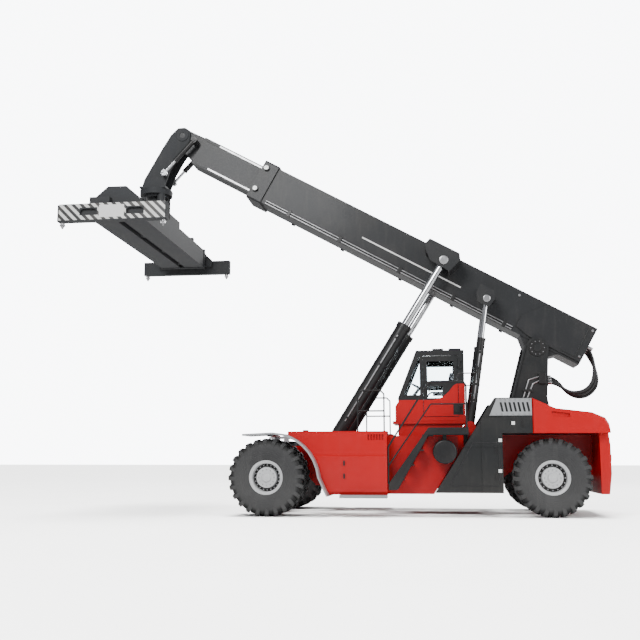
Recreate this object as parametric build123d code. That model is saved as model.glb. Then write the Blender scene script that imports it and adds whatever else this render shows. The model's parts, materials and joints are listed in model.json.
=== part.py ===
from build123d import *
import math
import os

# Reach stacker at full size, in millimetres.
# X points forward, Y to the machine's left and Z up, with the ground at Z = 0.

# Wheels and axles
front_axle_x = 1400.0
wheelbase = 6000.0
tyre_radius = 820.0
tyre_width = 500.0
lug_count = 12
carcass_sides = 14
lug_depth = 48.0
lug_length = 130.0
lug_skew = 14.0
bead_radius = 330.0
flange_radius = 362.0
twin_spacing = 560.0
front_track = 3030.0
rear_track = 2790.0
king_pin_inset = 300.0
king_pin_radius = 45.0
spindle_radius = 110.0
stub_radius = 75.0
running_gap = 0.05

# Boom, measured along and across the boom from its pivot
pivot_ahead_of_rear_axle = 100.0
pivot_height = 3680.0
pivot_pin_radius = 90.0
boom_angle = 29.0
outer_half_width = 400.0
outer_bottom = 100.0
outer_top = 1030.0
outer_tail = -980.0
outer_front = 7750.0
boom_wall = 22.0
collar_length = 380.0
collar_lip = 45.0
inner_half_width = 300.0
inner_bottom = 200.0
inner_top = 930.0
inner_tail = 950.0
inner_front = 9450.0
tip_along = 10020.0
tip_across = 720.0
tip_pin_radius = 70.0

# Lift cylinders in front of the cab and hold cylinders behind it
cylinder_y = 880.0
lift_base_behind_axle = 1150.0
lift_base_height = 1320.0
lift_eye_along = 2748.0
lift_eye_across = 729.0
lift_barrel_length = 3400.0
lift_barrel_radius = 155.0
lift_rod_radius = 85.0
lift_rod_length = 3353.0
lift_eye_radius = 140.0
lift_pin_radius = 70.0
hold_base_ahead_of_rear_axle = 1650.0
hold_base_height = 1900.0
hold_eye_along = 1498.0
hold_eye_across = 393.0
hold_barrel_length = 2000.0
hold_barrel_radius = 88.0
hold_rod_radius = 52.0
hold_rod_length = 1700.0
hold_eye_radius = 95.0
hold_pin_radius = 45.0

# Attachment that hangs from the boom tip
slew_ahead_of_tip = 720.0
lock_plane_below_tip = 2900.0
spreader_half_length = 3030.0
spreader_half_width = 1220.0
frame_inset = 430.0
arm_offset = 330.0
lock_inset = 90.0

# Body
frame_half_width = 660.0
girder_width = 150.0
girder_top = 1500.0
engine_front_ahead_of_rear_axle = 2700.0
engine_to_cross_member = 900.0
deck_height = 1800.0
body_half_width = 1600.0
cab_half_width = 680.0
cab_floor_height = 2050.0
cab_roof_height = 3640.0
cab_wall = 50.0
glass_thickness = 10.0
rail_radius = 20.0

rear_axle_x = front_axle_x - wheelbase
pivot_x = rear_axle_x + pivot_ahead_of_rear_axle
lift_base_x = front_axle_x - lift_base_behind_axle
hold_base_x = rear_axle_x + hold_base_ahead_of_rear_axle
boom_place = Pos(pivot_x, 0, pivot_height) * Rot(0, -boom_angle, 0)
cos_boom = math.cos(math.radians(boom_angle))
sin_boom = math.sin(math.radians(boom_angle))


def on_boom(along, across):
    """World (x, z) of a point measured along and across the boom from its pivot."""
    x = pivot_x + along * cos_boom - across * sin_boom
    z = pivot_height + along * sin_boom + across * cos_boom
    return x, z


tip_x, tip_z = on_boom(tip_along, tip_across)
slew_x = tip_x + slew_ahead_of_tip
frame_half_length = spreader_half_length - frame_inset
lock_z = tip_z - lock_plane_below_tip


def behind(distance):
    """X at a distance behind the front axle."""
    return front_axle_x - distance


def aft(distance):
    """X at a distance behind the rear axle."""
    return rear_axle_x - distance


def block(x0, x1, y0, y1, z0, z1):
    size = Box(abs(x1 - x0), abs(y1 - y0), abs(z1 - z0))
    return Pos((x0 + x1) / 2, (y0 + y1) / 2, (z0 + z1) / 2) * size


def side_plate(points, y0, y1, corner=0):
    """A plate with a side-view outline of (x, z) points from y0 to y1, its corners rounded."""
    face = make_face(Polyline(*[(x, y0, z) for x, z in points], close=True))
    if corner:
        face = fillet(face.vertices(), corner)
    return extrude(face, amount=abs(y1 - y0), dir=(0, 1 if y1 > y0 else -1, 0))


def end_plate(points, x0, x1, corner=0):
    """A plate with an end-view outline of (y, z) points from x0 to x1, its corners rounded."""
    face = make_face(Polyline(*[(x0, y, z) for y, z in points], close=True))
    if corner:
        face = fillet(face.vertices(), corner)
    return extrude(face, amount=abs(x1 - x0), dir=(1 if x1 > x0 else -1, 0, 0))


def pin_y(x, z, radius, y0, y1):
    return Pos(x, (y0 + y1) / 2, z) * Rot(90, 0, 0) * Cylinder(radius, abs(y1 - y0))


def post(x, y, radius, z0, z1):
    return Pos(x, y, (z0 + z1) / 2) * Cylinder(radius, abs(z1 - z0))


def rod_between(start, end, radius):
    way = Vector(*end) - Vector(*start)
    place = Plane(origin=start, z_dir=way)
    return place * Cylinder(radius, way.length, align=(Align.CENTER, Align.CENTER, Align.MIN))


def bent_tube(points, radius, bend):
    """A round tube through the points, with its corners bent to a radius."""
    path = FilletPolyline(*points, radius=bend)
    start = Plane(origin=path @ 0, z_dir=path % 0)
    return sweep(start * Circle(radius), path=path)


def other_side(shape):
    return mirror(shape, about=Plane.XZ)


def both_sides(shape):
    return [shape, other_side(shape)]


def turned(points, x, y, z):
    """A ring turned about an axis along Y, from (radius, y offset) points."""
    outline = Polyline(*[(r, w, 0) for r, w in points], close=True)
    return Pos(x, y, z) * revolve(make_face(outline), axis=Axis.Y, revolution_arc=360)


def save(node, *shapes):
    """Write the solids of one node to its STEP file."""
    solids = []
    for shape in shapes:
        solids.extend(shape.solids())
    export_step(
        Compound(children=[Solid(s.wrapped) for s in solids]), os.path.join("parts", node + ".step")
    )


os.makedirs("parts", exist_ok=True)

# Tyres: a flat-sided carcass with skewed lugs over both shoulders
half_tyre = tyre_width / 2
carcass_radius = tyre_radius - lug_depth
carcass_stations = [
    (-half_tyre, tyre_radius - 180),
    (-half_tyre + 70, carcass_radius),
    (half_tyre - 70, carcass_radius),
    (half_tyre, tyre_radius - 180),
]
lug_section = [
    (14, carcass_radius - 25),
    (20, tyre_radius),
    (half_tyre - 52, tyre_radius),
    (half_tyre, tyre_radius - 62),
    (half_tyre, tyre_radius - 220),
    (half_tyre - 60, tyre_radius - 220),
]


def many_sided(radius, y):
    """A flat face of equal sides across the axle at y, with the radius to the middle of each side."""
    across = Plane(origin=(0, y, 0), x_dir=(1, 0, 0), z_dir=(0, 1, 0))
    return across * RegularPolygon(radius, carcass_sides, major_radius=False)


def lug(side, angle):
    face = end_plate([(side * y, -r) for y, r in lug_section], -lug_length / 2, lug_length / 2)
    middle = side * half_tyre / 2
    skewed = Pos(0, middle, 0) * Rot(0, 0, side * lug_skew) * Pos(0, -middle, 0) * face
    return Rot(0, angle, 0) * (skewed & block(-400, 400, -half_tyre, half_tyre, -tyre_radius - 1, 0))


tyre_lugs = []
for step in range(lug_count):
    tyre_lugs.append(lug(1, step * 360 / lug_count))
    tyre_lugs.append(lug(-1, (step + 0.5) * 360 / lug_count))
tyre_shape = loft([many_sided(radius, y) for y, radius in carcass_stations], ruled=True)
tyre_shape = tyre_shape.fuse(*tyre_lugs)
tyre_shape -= extrude(many_sided(bead_radius + 0.3, -half_tyre), amount=tyre_width, dir=(0, 1, 0))
for end in (-half_tyre, half_tyre - 55):
    tyre_shape -= extrude(many_sided(flange_radius + 2, end), amount=55, dir=(0, 1, 0))


def tyre(x, y):
    return Pos(x, y, tyre_radius) * tyre_shape


def rim(x, y, bore, disc_depth, hub_length, cap):
    """A rim that faces +Y, with its disc set in from the outer flange and a hub in the middle."""
    edge = half_tyre - 55
    back = edge - disc_depth
    section = [
        (bore, back - 60),
        (bore, back + hub_length),
        (215, back + hub_length),
        (230, back),
        (bead_radius - 40, back),
        (bead_radius - 28, edge),
        (flange_radius - 12, edge + 25),
        (flange_radius, edge + 25),
        (flange_radius, edge),
        (bead_radius, edge),
        (bead_radius, -edge),
        (flange_radius, -edge),
        (flange_radius, -edge - 25),
        (bead_radius - 28, -edge),
        (bead_radius - 28, back - 60),
    ]
    made = turned(section, x, y, tyre_radius)
    if cap:
        cap_end = y + back + hub_length
        made += pin_y(x, tyre_radius, 205, cap_end - 20, cap_end)
    return made


outer_twin_y = front_track / 2 + twin_spacing / 2
inner_twin_y = front_track / 2 - twin_spacing / 2
front_bore = spindle_radius + running_gap
hub_tube_section = [
    (front_bore, inner_twin_y + half_tyre - 70),
    (front_bore, outer_twin_y - 30),
    (190, outer_twin_y - 30),
    (190, inner_twin_y + half_tyre - 70),
]
twin_tyres = [tyre(front_axle_x, outer_twin_y), tyre(front_axle_x, inner_twin_y)]
twin_rims = rim(front_axle_x, outer_twin_y, front_bore, 170, 120, True)
twin_rims += rim(front_axle_x, inner_twin_y, front_bore, 40, 30, False)
twin_rims += turned(hub_tube_section, front_axle_x, 0, tyre_radius)
save("front_tyres_left", *twin_tyres)
save("front_tyres_right", *[other_side(t) for t in twin_tyres])
save("front_rims_left", twin_rims)
save("front_rims_right", other_side(twin_rims))

rear_wheel_y = rear_track / 2
king_pin_y = rear_wheel_y - king_pin_inset
rear_tyre = tyre(rear_axle_x, rear_wheel_y)
rear_rim = rim(rear_axle_x, rear_wheel_y, stub_radius + running_gap, 110, 90, True)
save("rear_tyre_left", rear_tyre)
save("rear_tyre_right", other_side(rear_tyre))
save("rear_rim_left", rear_rim)
save("rear_rim_right", other_side(rear_rim))

# Axles and steering knuckles
knuckle_reach = 165.0
fork_thick = 60.0
stub_end = rear_wheel_y + 140
knuckle = post(rear_axle_x, king_pin_y, 95, tyre_radius - knuckle_reach, tyre_radius + knuckle_reach)
knuckle += pin_y(rear_axle_x, tyre_radius, 110, king_pin_y + 60, king_pin_y + 150)
knuckle += pin_y(rear_axle_x, tyre_radius, stub_radius, king_pin_y, stub_end)
pin_reach = knuckle_reach + fork_thick
knuckle += post(rear_axle_x, king_pin_y, king_pin_radius, tyre_radius - pin_reach, tyre_radius + pin_reach)
save("knuckle_left", knuckle)
save("knuckle_right", other_side(knuckle))

beam_end = king_pin_y - 315
steer_axle = block(
    aft(130), aft(-130), -beam_end, beam_end, tyre_radius - pin_reach, tyre_radius + pin_reach
)
steer_axle -= block(aft(300), aft(70), -beam_end + 60, beam_end - 60, tyre_radius - 120, tyre_radius + 120)
steer_axle += pin_y(aft(105), tyre_radius, 62, -beam_end + 90, beam_end - 90)
steer_axle += pin_y(aft(105), tyre_radius, 34, -beam_end + 40, beam_end - 40)
for side in (1, -1):
    for low in (tyre_radius - pin_reach, tyre_radius + knuckle_reach + 0.2):
        high = low + fork_thick - 0.2
        steer_axle += post(rear_axle_x, side * king_pin_y, 110, low, high)
        steer_axle += block(aft(105), aft(-105), side * (beam_end - 10), side * king_pin_y, low, high)
    steer_axle -= post(rear_axle_x, side * king_pin_y, king_pin_radius + running_gap, 0, 2 * tyre_radius)
axle_mount_top = 1250.0
steer_axle += block(aft(110), aft(-110), -330, 330, tyre_radius + pin_reach - 10, axle_mount_top)
save("steer_axle", steer_axle)

housing_end = inner_twin_y - half_tyre - 25
front_axle = pin_y(front_axle_x, tyre_radius, 200, -housing_end, housing_end)
front_axle += Pos(front_axle_x, 0, tyre_radius) * Sphere(370)
front_axle += rod_between((front_axle_x, 0, tyre_radius), (behind(620), 0, tyre_radius + 60), 110)
front_axle += pin_y(front_axle_x, tyre_radius, spindle_radius, -outer_twin_y - 60, outer_twin_y + 60)
for side in (1, -1):
    front_axle += pin_y(front_axle_x, tyre_radius, 300, side * (housing_end - 130), side * housing_end)
    front_axle += block(behind(170), behind(-170), side * 470, side * 640, tyre_radius, 1150)
save("front_axle", front_axle)

# Main frame: two girders with cross members, outriggers and brackets for the cylinders
frame_front = behind(-420)
girder_points = [
    (frame_front, 1150),
    (frame_front, girder_top - 120),
    (behind(-250), girder_top),
    (aft(-1020), girder_top),
    (aft(-1020), 620),
    (behind(900), 620),
    (behind(420), 1150),
]
girder_inner = frame_half_width - girder_width
frame = side_plate(girder_points, girder_inner, frame_half_width)
frame += other_side(frame)
engine_front_x = aft(-engine_front_ahead_of_rear_axle)
engine_member_x = engine_front_x + engine_to_cross_member
for x in (behind(-300), behind(1000), engine_member_x, aft(-1030)):
    frame += block(x - 60, x + 60, -frame_half_width + 100, frame_half_width - 100, 1180, girder_top - 40)
rear_spine = [
    (aft(-1060), girder_top),
    (aft(-1060), 700),
    (aft(-300), axle_mount_top),
    (aft(300), axle_mount_top),
    (aft(1015), 800),
    (aft(1015), 1740),
    (aft(-1060), 1740),
]
frame += side_plate(rear_spine, -360, 360)
frame += block(aft(-1000), aft(-1120), -frame_half_width, frame_half_width, 700, girder_top)
cheek_inner = cylinder_y - 180
cheek_outer = cylinder_y + 180
lift_cheek = [
    (lift_base_x - 330, 900),
    (lift_base_x + 150, 900),
    (lift_base_x + 170, lift_base_height),
    (lift_base_x + 80, lift_base_height + 150),
    (lift_base_x - 80, lift_base_height + 150),
    (lift_base_x - 330, lift_base_height - 150),
]
for side in (1, -1):
    for y0, y1 in ((frame_half_width, cheek_inner), (cheek_outer, cheek_outer + 40)):
        frame += side_plate(lift_cheek, side * y0, side * y1)
    outside = side * (cheek_outer + 40)
    frame += block(lift_base_x - 330, lift_base_x + 150, side * frame_half_width, outside, 860, 900)
    frame += pin_y(lift_base_x, lift_base_height, lift_pin_radius, side * (frame_half_width - 20), outside)
    frame += block(behind(2450), behind(2330), side * (frame_half_width - 60), outside, 700, 1000)
    frame += block(aft(-1100), aft(-1240), side * (frame_half_width - 60), side * 1120, 700, 1100)
    for y in (cylinder_y - 105, cylinder_y + 105):
        frame += block(
            hold_base_x - 110, hold_base_x + 110,
            side * (y - 15), side * (y + 15),
            1460, hold_base_height + 60,
        )
        frame += pin_y(hold_base_x, hold_base_height + 20, 110, side * (y - 15), side * (y + 15))
    hold_outside = side * (cylinder_y + 120)
    frame += block(
        hold_base_x - 110, hold_base_x + 110, side * (frame_half_width - 60), hold_outside, 1420, 1460
    )
    frame += pin_y(hold_base_x, hold_base_height, hold_pin_radius, side * (cylinder_y - 120), hold_outside)
    eye = block(frame_front - 20, frame_front + 60, side * 520, side * 650, 1230, 1270)
    eye += post(frame_front + 60, side * 585, 65, 1230, 1270)
    frame += eye - post(frame_front + 60, side * 585, 30, 1200, 1300)
nose_plate = [
    (frame_front - 40, 1150),
    (frame_front + 25, 1180),
    (frame_front + 25, 1400),
    (frame_front - 60, 1480),
]
frame += side_plate(nose_plate, -frame_half_width + 110, frame_half_width - 110)
save("chassis_frame", frame)

# Boom tower: two rounded plates with flanged front edges, cross plates and the pivot pin
tower_inner = outer_half_width + 50
tower_outer = tower_inner + 70
tower_points = [
    (pivot_x + 950, 1740),
    (pivot_x + 560, 2560),
    (pivot_x + 235, pivot_height + 85),
    (pivot_x - 245, pivot_height + 50),
    (pivot_x - 180, 2560),
    (pivot_x - 330, 1740),
]
flange_points = [
    (pivot_x + 950, 1740),
    (pivot_x + 560, 2560),
    (pivot_x + 235, pivot_height + 85),
    (pivot_x + 275, pivot_height + 85),
    (pivot_x + 600, 2560),
    (pivot_x + 990, 1740),
]
tower = side_plate(tower_points, tower_inner, tower_outer)
tower += pin_y(pivot_x, pivot_height, 250, tower_inner, tower_outer)
tower += side_plate(flange_points, tower_inner - 25, tower_outer + 40)
tower += other_side(tower)
tower += block(pivot_x - 300, pivot_x + 900, -tower_outer, tower_outer, 1740, 1790)
tower += block(pivot_x - 120, pivot_x + 500, -tower_inner - 10, tower_inner + 10, 2250, 2300)
hose_plate_z = 2980.0
plate_half = tower_inner + 10
tower += block(pivot_x - 215, pivot_x - 185, -plate_half, plate_half, hose_plate_z - 160, hose_plate_z + 160)
tower += pin_y(pivot_x, pivot_height, pivot_pin_radius, -tower_outer - 30, tower_outer + 30)
save("boom_tower", tower)

# Rear body: counterweight, hood halves and a deck between them
hood_base = 1750.0
counterweight_points = [
    (aft(1015), 480),
    (aft(1015), hood_base),
    (aft(1215), hood_base),
    (aft(1245), 1500),
    (aft(1245), 900),
    (aft(1190), 480),
]
counterweight = side_plate(counterweight_points, -1360, 1360)
rear_edges = counterweight.edges().filter_by(
    lambda edge: abs(abs(edge.center().Y) - 1360) < 1 and edge.center().X < aft(1150)
)
counterweight = fillet(rear_edges, 50)
jaw_z = 760.0
counterweight -= block(aft(1160), aft(1400), -130, 130, jaw_z - 70, jaw_z + 70)
counterweight += post(aft(1205), 0, 28, jaw_z - 80, jaw_z + 80)
save("counterweight", counterweight)

rear_hood_points = [
    (aft(-380), hood_base),
    (aft(-380), 2500),
    (aft(110), 2275),
    (aft(850), 2185),
    (aft(1120), 2070),
    (aft(1190), 1950),
    (aft(1215), hood_base),
]
rear_hood = side_plate(rear_hood_points, tower_outer, body_half_width)
top_edges = rear_hood.edges().filter_by(
    lambda e: abs(e.center().Y - body_half_width) < 1 and e.center().Z > 1990
)
rear_hood = fillet(top_edges, 55)
recess = [(aft(30), 2170), (aft(30), 2210), (aft(400), 2160), (aft(400), 2080), (aft(60), 2080)]
rear_hood -= side_plate(recess, body_half_width - 50, body_half_width + 10)
save("rear_hood", *both_sides(rear_hood))
deck_points = [
    (aft(240), hood_base),
    (aft(240), hood_base + 210),
    (aft(1120), hood_base + 210),
    (aft(1190), hood_base + 140),
    (aft(1215), hood_base),
]
save("rear_deck", side_plate(deck_points, -tower_outer, tower_outer))

# Engine covers with louvred panels
cover_points = [
    (aft(-380), hood_base),
    (aft(-380), 2500),
    (aft(-1150), 2500),
    (aft(-1900), 1330),
    (aft(-2170), 900),
    (aft(-2430), 500),
    (aft(-1010), 500),
    (aft(-1010), hood_base),
]
cover = side_plate(cover_points, 1120, body_half_width)
for z in (2085, 1450):
    cover -= block(aft(-1010), aft(-2500), body_half_width - 12, body_half_width + 5, z, z + 12)
cover -= block(aft(-1450), aft(-1462), body_half_width - 12, body_half_width + 5, 500, 2085)
save("engine_covers", *both_sides(cover))
louvre_points = [(aft(-385), 2120), (aft(-385), 2480), (aft(-1110), 2480), (aft(-1270), 2120)]
louvre = side_plate(louvre_points, body_half_width, body_half_width + 22)
for count in range(7):
    x = aft(-460 - count * 92)
    slot = [(x, 2200), (x - 45, 2200), (x - 5, 2400), (x + 40, 2400)]
    louvre -= side_plate(slot, body_half_width - 1, body_half_width + 30)
save("louvre_panels", *both_sides(louvre))

engine_block = block(aft(-1300), engine_front_x, -440, 440, 760, 1640)
for x in (aft(-1450), aft(-2450)):
    engine_block += block(x, x + 120, -girder_inner, girder_inner, 1000, 1100)
save("engine_block", engine_block)

tank_inner = cheek_outer + 40
platform_top = 1870.0

# Front mudguards: a flat front, then a curve down behind the wheels
guard_radius = tyre_radius + 90
guard_thick = 40.0
guard_outer = 2060.0


def guard_line(lift):
    top = tyre_radius + guard_radius + lift
    points = [(behind(-520), top - 30), (behind(120), top)]
    for angle in range(100, 181, 10):
        reach = guard_radius + lift + (angle - 95) * 2.3
        x = reach * math.cos(math.radians(angle))
        points.append((front_axle_x + x, tyre_radius + reach * math.sin(math.radians(angle))))
    points.append((behind(guard_radius + 380 + lift), 430))
    return points


guard_points = guard_line(guard_thick) + list(reversed(guard_line(0)))
mudguard = side_plate(guard_points, tank_inner, guard_outer)
guard_top = tyre_radius + guard_radius
mudguard += block(
    behind(60), behind(-60), frame_half_width - 80, tank_inner + 500, guard_top - 35, guard_top + 5
)
mudguard += block(behind(60), behind(-60), frame_half_width - 80, frame_half_width, girder_top, guard_top)
save("front_mudguards", *both_sides(mudguard))

# Red side tanks that follow the mudguard, with a crease along the side and a recess for the stairs
tank_section = [
    (tank_inner, 460),
    (1690, 460),
    (1735, 520),
    (1775, 1265),
    (1745, 1300),
    (1735, deck_height - 30),
    (1705, deck_height),
    (tank_inner, deck_height),
]
tank_rear = aft(-3440)
tank_gap = 3.0
stair_inner = tank_inner + 100
side_tank = end_plate(tank_section, tank_rear, behind(420))
wheel_room = guard_line(guard_thick + tank_gap) + [(behind(1320), 300), (behind(-600), 300)]
side_tank -= side_plate(wheel_room, tank_inner - 10, guard_outer)
recess_points = [
    (tank_rear + 10, 460),
    (aft(-2460), 460),
    (aft(-2190), 910),
    (aft(-1935), 1330),
    (aft(-1935), platform_top - 160),
    (tank_rear + 10, platform_top - 160),
]
side_tank += side_plate(recess_points, tank_inner, stair_inner)
vent_x = behind(2150)
for count in range(6):
    side_tank -= block(vent_x - count * 60, vent_x - count * 60 - 34, 1690, 1800, 1610, 1730)
save("side_tanks", *both_sides(side_tank))
side_bar = block(aft(-3440), behind(1560), 1600, 1960, 395, 460)
side_bar = fillet(side_bar.edges().filter_by(Axis.X), 20)
save("side_bars", *both_sides(side_bar))

# Stairs, platforms, handrails and the air cleaner under the platform
stair_outer = 1700.0
stair_low = (aft(-3400), 560)
stair_high = (aft(-2560), platform_top - 60)
stringer_points = [
    (stair_low[0] + 10, stair_low[1]),
    (stair_low[0] - 170, stair_low[1]),
    (stair_high[0], stair_high[1] - 90),
    (stair_high[0], stair_high[1] + 60),
    (stair_low[0] + 10, stair_low[1] + 130),
]
stairs = side_plate(stringer_points, stair_outer - 40, stair_outer)
stairs += side_plate(stringer_points, stair_inner, stair_inner + 40)
for count in range(4):
    part_way = (count + 0.5) / 4
    x = stair_low[0] - 90 + part_way * (stair_high[0] - stair_low[0])
    z = stair_low[1] + 40 + part_way * (stair_high[1] - stair_low[1])
    stairs += block(x - 120, x + 120, stair_inner + 30, stair_outer - 30, z, z + 30)
platform = block(aft(-1715), aft(-2560), tank_inner, stair_outer, platform_top - 50, platform_top)
for y in (tank_inner, stair_outer - 40):
    platform += block(aft(-1715), aft(-2560), y, y + 40, platform_top - 150, platform_top - 40)
platform += block(aft(-1715), aft(-1800), frame_half_width, tank_inner + 10, 1380, 1420)
platform += block(aft(-1715), aft(-1800), tank_inner - 60, tank_inner + 10, 1380, platform_top - 50)
stairs += platform
save("stairs", *both_sides(stairs))

cleaner_x = aft(-2220)
cleaner_z = 1360.0
cleaner_radius = 255.0
cleaner = pin_y(cleaner_x, cleaner_z, cleaner_radius, stair_inner + 40, 1640)
cleaner = fillet(cleaner.edges().filter_by(GeomType.CIRCLE), 40)
cleaner += pin_y(cleaner_x, cleaner_z, 90, 1600, 1655)
for y in (stair_inner + 100, 1500):
    cleaner += block(
        cleaner_x - 40, cleaner_x + 40, y - 25, y + 25, cleaner_z + cleaner_radius - 30, platform_top - 50
    )
save("air_cleaners", *both_sides(cleaner))

rail_top = platform_top + 980
rail_mid = platform_top + 500
rail_y = stair_outer - 30
rails = bent_tube(
    [
        (stair_low[0] + 20, rail_y, stair_low[1] + 130),
        (stair_low[0] + 20, rail_y, stair_low[1] + 900),
        (stair_high[0] - 30, rail_y, rail_top),
        (aft(-1750), rail_y, rail_top),
        (aft(-1750), rail_y, platform_top - 40),
    ],
    rail_radius,
    120,
)
rails += post(stair_high[0] - 60, rail_y, rail_radius, platform_top - 40, rail_top)
rails += rod_between(
    (stair_high[0] - 60, rail_y, rail_mid), (aft(-1750), rail_y, rail_mid), rail_radius * 0.8
)
rails += rod_between(
    (stair_low[0] + 20, rail_y, stair_low[1] + 500),
    (stair_high[0] - 60, rail_y, rail_mid),
    rail_radius * 0.8,
)
rails -= stairs
save("handrails", *both_sides(rails))

# Cab: a hollow shell with a raked front, its windows and door opening cut out
cab_rear_x = aft(-1750)
cab_toe_x = aft(-3170)
cab_knee_x = aft(-3240)
cab_brow_x = aft(-2820)
knee_height = cab_floor_height + 510
roof_under = cab_roof_height - 80
cab_outline = [
    (cab_rear_x, cab_floor_height),
    (cab_toe_x, cab_floor_height),
    (cab_knee_x, knee_height),
    (cab_brow_x, cab_roof_height),
    (cab_rear_x, cab_roof_height),
]
cab_hollow = [
    (cab_rear_x + 60, cab_floor_height + 60),
    (cab_toe_x - 70, cab_floor_height + 60),
    (cab_knee_x - 70, knee_height),
    (cab_brow_x - 50, roof_under),
    (cab_rear_x + 60, roof_under),
]
front_slope = (cab_brow_x - cab_knee_x) / (cab_roof_height - knee_height)
toe_slope = (cab_knee_x - cab_toe_x) / (knee_height - cab_floor_height)


def windscreen_x(z):
    return cab_knee_x + front_slope * (z - knee_height)


def foot_glass_x(z):
    return cab_toe_x + toe_slope * (z - cab_floor_height)


def sloped_pane(x_at, low, high, half_width, depth, start):
    """A pane or cut that follows a sloped front, from start behind its outer face and depth thick."""
    points = [
        (x_at(low) - start, low),
        (x_at(high) - start, high),
        (x_at(high) - start - depth, high),
        (x_at(low) - start - depth, low),
    ]
    return side_plate(points, -half_width, half_width)


door_front_x = cab_knee_x - 570
door_rear_x = cab_rear_x + 130
door_low = cab_floor_height + 90
door_high = cab_roof_height - 120
side_glass_y = cab_half_width - cab_wall / 2
screen_low = knee_height + 60
screen_high = cab_roof_height - 110
screen_half = cab_half_width - 80
window_front = door_front_x - 75
window_rear = door_rear_x + 90
upper_window = (window_rear, window_front, cab_floor_height + 880, cab_floor_height + 1350)
lower_window = (window_rear + 250, window_front, cab_floor_height + 500, cab_floor_height + 790)
quarter_points = [
    (door_front_x + 60, screen_low),
    (windscreen_x(screen_low) - 90, screen_low),
    (windscreen_x(screen_high) - 90, screen_high - 40),
    (door_front_x + 60, screen_high - 40),
]
roof_window = (cab_brow_x - 330, cab_brow_x - 130)
cab = side_plate(cab_outline, -cab_half_width, cab_half_width)
cab -= side_plate(cab_hollow, -cab_half_width + cab_wall, cab_half_width - cab_wall)
cab -= block(door_rear_x, door_front_x, cab_half_width - 60, cab_half_width + 10, door_low, door_high)
cab -= sloped_pane(windscreen_x, screen_low, screen_high, screen_half, 200, -60)
cab -= sloped_pane(foot_glass_x, cab_floor_height + 130, knee_height - 50, screen_half, 200, -60)
cab -= block(
    cab_rear_x - 10, cab_rear_x + 70, -screen_half, screen_half, cab_floor_height + 650, screen_high - 60
)
cab -= block(
    roof_window[0], roof_window[1],
    -screen_half + 90, screen_half - 90,
    roof_under - 10, cab_roof_height + 10,
)
panes = [
    sloped_pane(windscreen_x, screen_low, screen_high, screen_half, glass_thickness, 15),
    sloped_pane(foot_glass_x, cab_floor_height + 130, knee_height - 50, screen_half, glass_thickness, 15),
    block(
        cab_rear_x + 20,
        cab_rear_x + 20 + glass_thickness,
        -screen_half,
        screen_half,
        cab_floor_height + 650,
        screen_high - 60,
    ),
    block(
        roof_window[0],
        roof_window[1],
        -screen_half + 90,
        screen_half - 90,
        cab_roof_height - 40,
        cab_roof_height - 40 + glass_thickness,
    ),
]
for side in (1, -1):
    wall_in = side * (cab_half_width - cab_wall - 10)
    wall_out = side * (cab_half_width + 10)
    pane_in = side * side_glass_y
    pane_out = side * (side_glass_y + glass_thickness)
    cab -= side_plate(quarter_points, wall_in, wall_out)
    panes.append(side_plate(quarter_points, pane_in, pane_out))
for x0, x1, z0, z1 in (upper_window, lower_window):
    cab -= block(x0, x1, -cab_half_width - 10, -cab_half_width + cab_wall + 10, z0, z1)
    panes.append(block(x0, x1, -side_glass_y - glass_thickness, -side_glass_y, z0, z1))
lamp_gap = (cab_rear_x + 330, cab_rear_x + 450)
cab += block(cab_rear_x + 60, lamp_gap[0], -480, 480, cab_roof_height - 5, cab_roof_height + 60)
cab += block(lamp_gap[1], roof_window[0] - 40, -480, 480, cab_roof_height - 5, cab_roof_height + 60)
door = block(
    door_rear_x + 8, door_front_x - 8, cab_half_width - 45, cab_half_width, door_low + 8, door_high - 8
)
door_panes = []
for x0, x1, z0, z1 in (upper_window, lower_window):
    door -= block(x0, x1, cab_half_width - 60, cab_half_width + 10, z0, z1)
    door_panes.append(block(x0, x1, side_glass_y, side_glass_y + glass_thickness, z0, z1))
hinge_x = door_rear_x - 20
hinge_y = cab_half_width + 22
hinge_heights = (door_low + 160, door_high - 200)
for hinge_z in hinge_heights:
    sleeve = post(hinge_x, hinge_y, 22, hinge_z - 60, hinge_z + 60)
    sleeve += block(
        hinge_x, door_rear_x + 110, cab_half_width + 1, cab_half_width + 16, hinge_z - 60, hinge_z + 60
    )
    sleeve += block(
        door_rear_x + 12, door_rear_x + 110,
        cab_half_width - 2, cab_half_width + 5,
        hinge_z - 60, hinge_z + 60,
    )
    door += sleeve - post(hinge_x, hinge_y, 10 + running_gap, hinge_z - 150, hinge_z + 150)
    cab += post(hinge_x, hinge_y, 10, hinge_z - 100, hinge_z + 100)
    for low in (hinge_z + 60.3, hinge_z - 100):
        cab += block(hinge_x - 60, hinge_x + 12, cab_half_width - 5, hinge_y + 12, low, low + 39.7)
door += block(
    door_front_x - 150, door_front_x - 120,
    cab_half_width - 5, cab_half_width + 45,
    door_low + 560, door_low + 800,
)
everywhere = 2 * cab_roof_height
side_room = block(
    -everywhere, everywhere, -cab_half_width + cab_wall, cab_half_width - cab_wall, 0, everywhere
)
above_floor = block(-everywhere, everywhere, -everywhere, everywhere, cab_floor_height + 60, everywhere)
under_roof = block(-everywhere, everywhere, -everywhere, everywhere, 0, roof_under)
cab_middle = cab & side_room
save("cab_sides", cab - side_room)
save("cab_floor", cab_middle - above_floor)
save("cab_roof", cab_middle - under_roof)
save("cab_end_walls", cab_middle & above_floor & under_roof)
save("cab_glass", *panes)
save("cab_door", door)
save("cab_door_glass", *door_panes)

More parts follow.
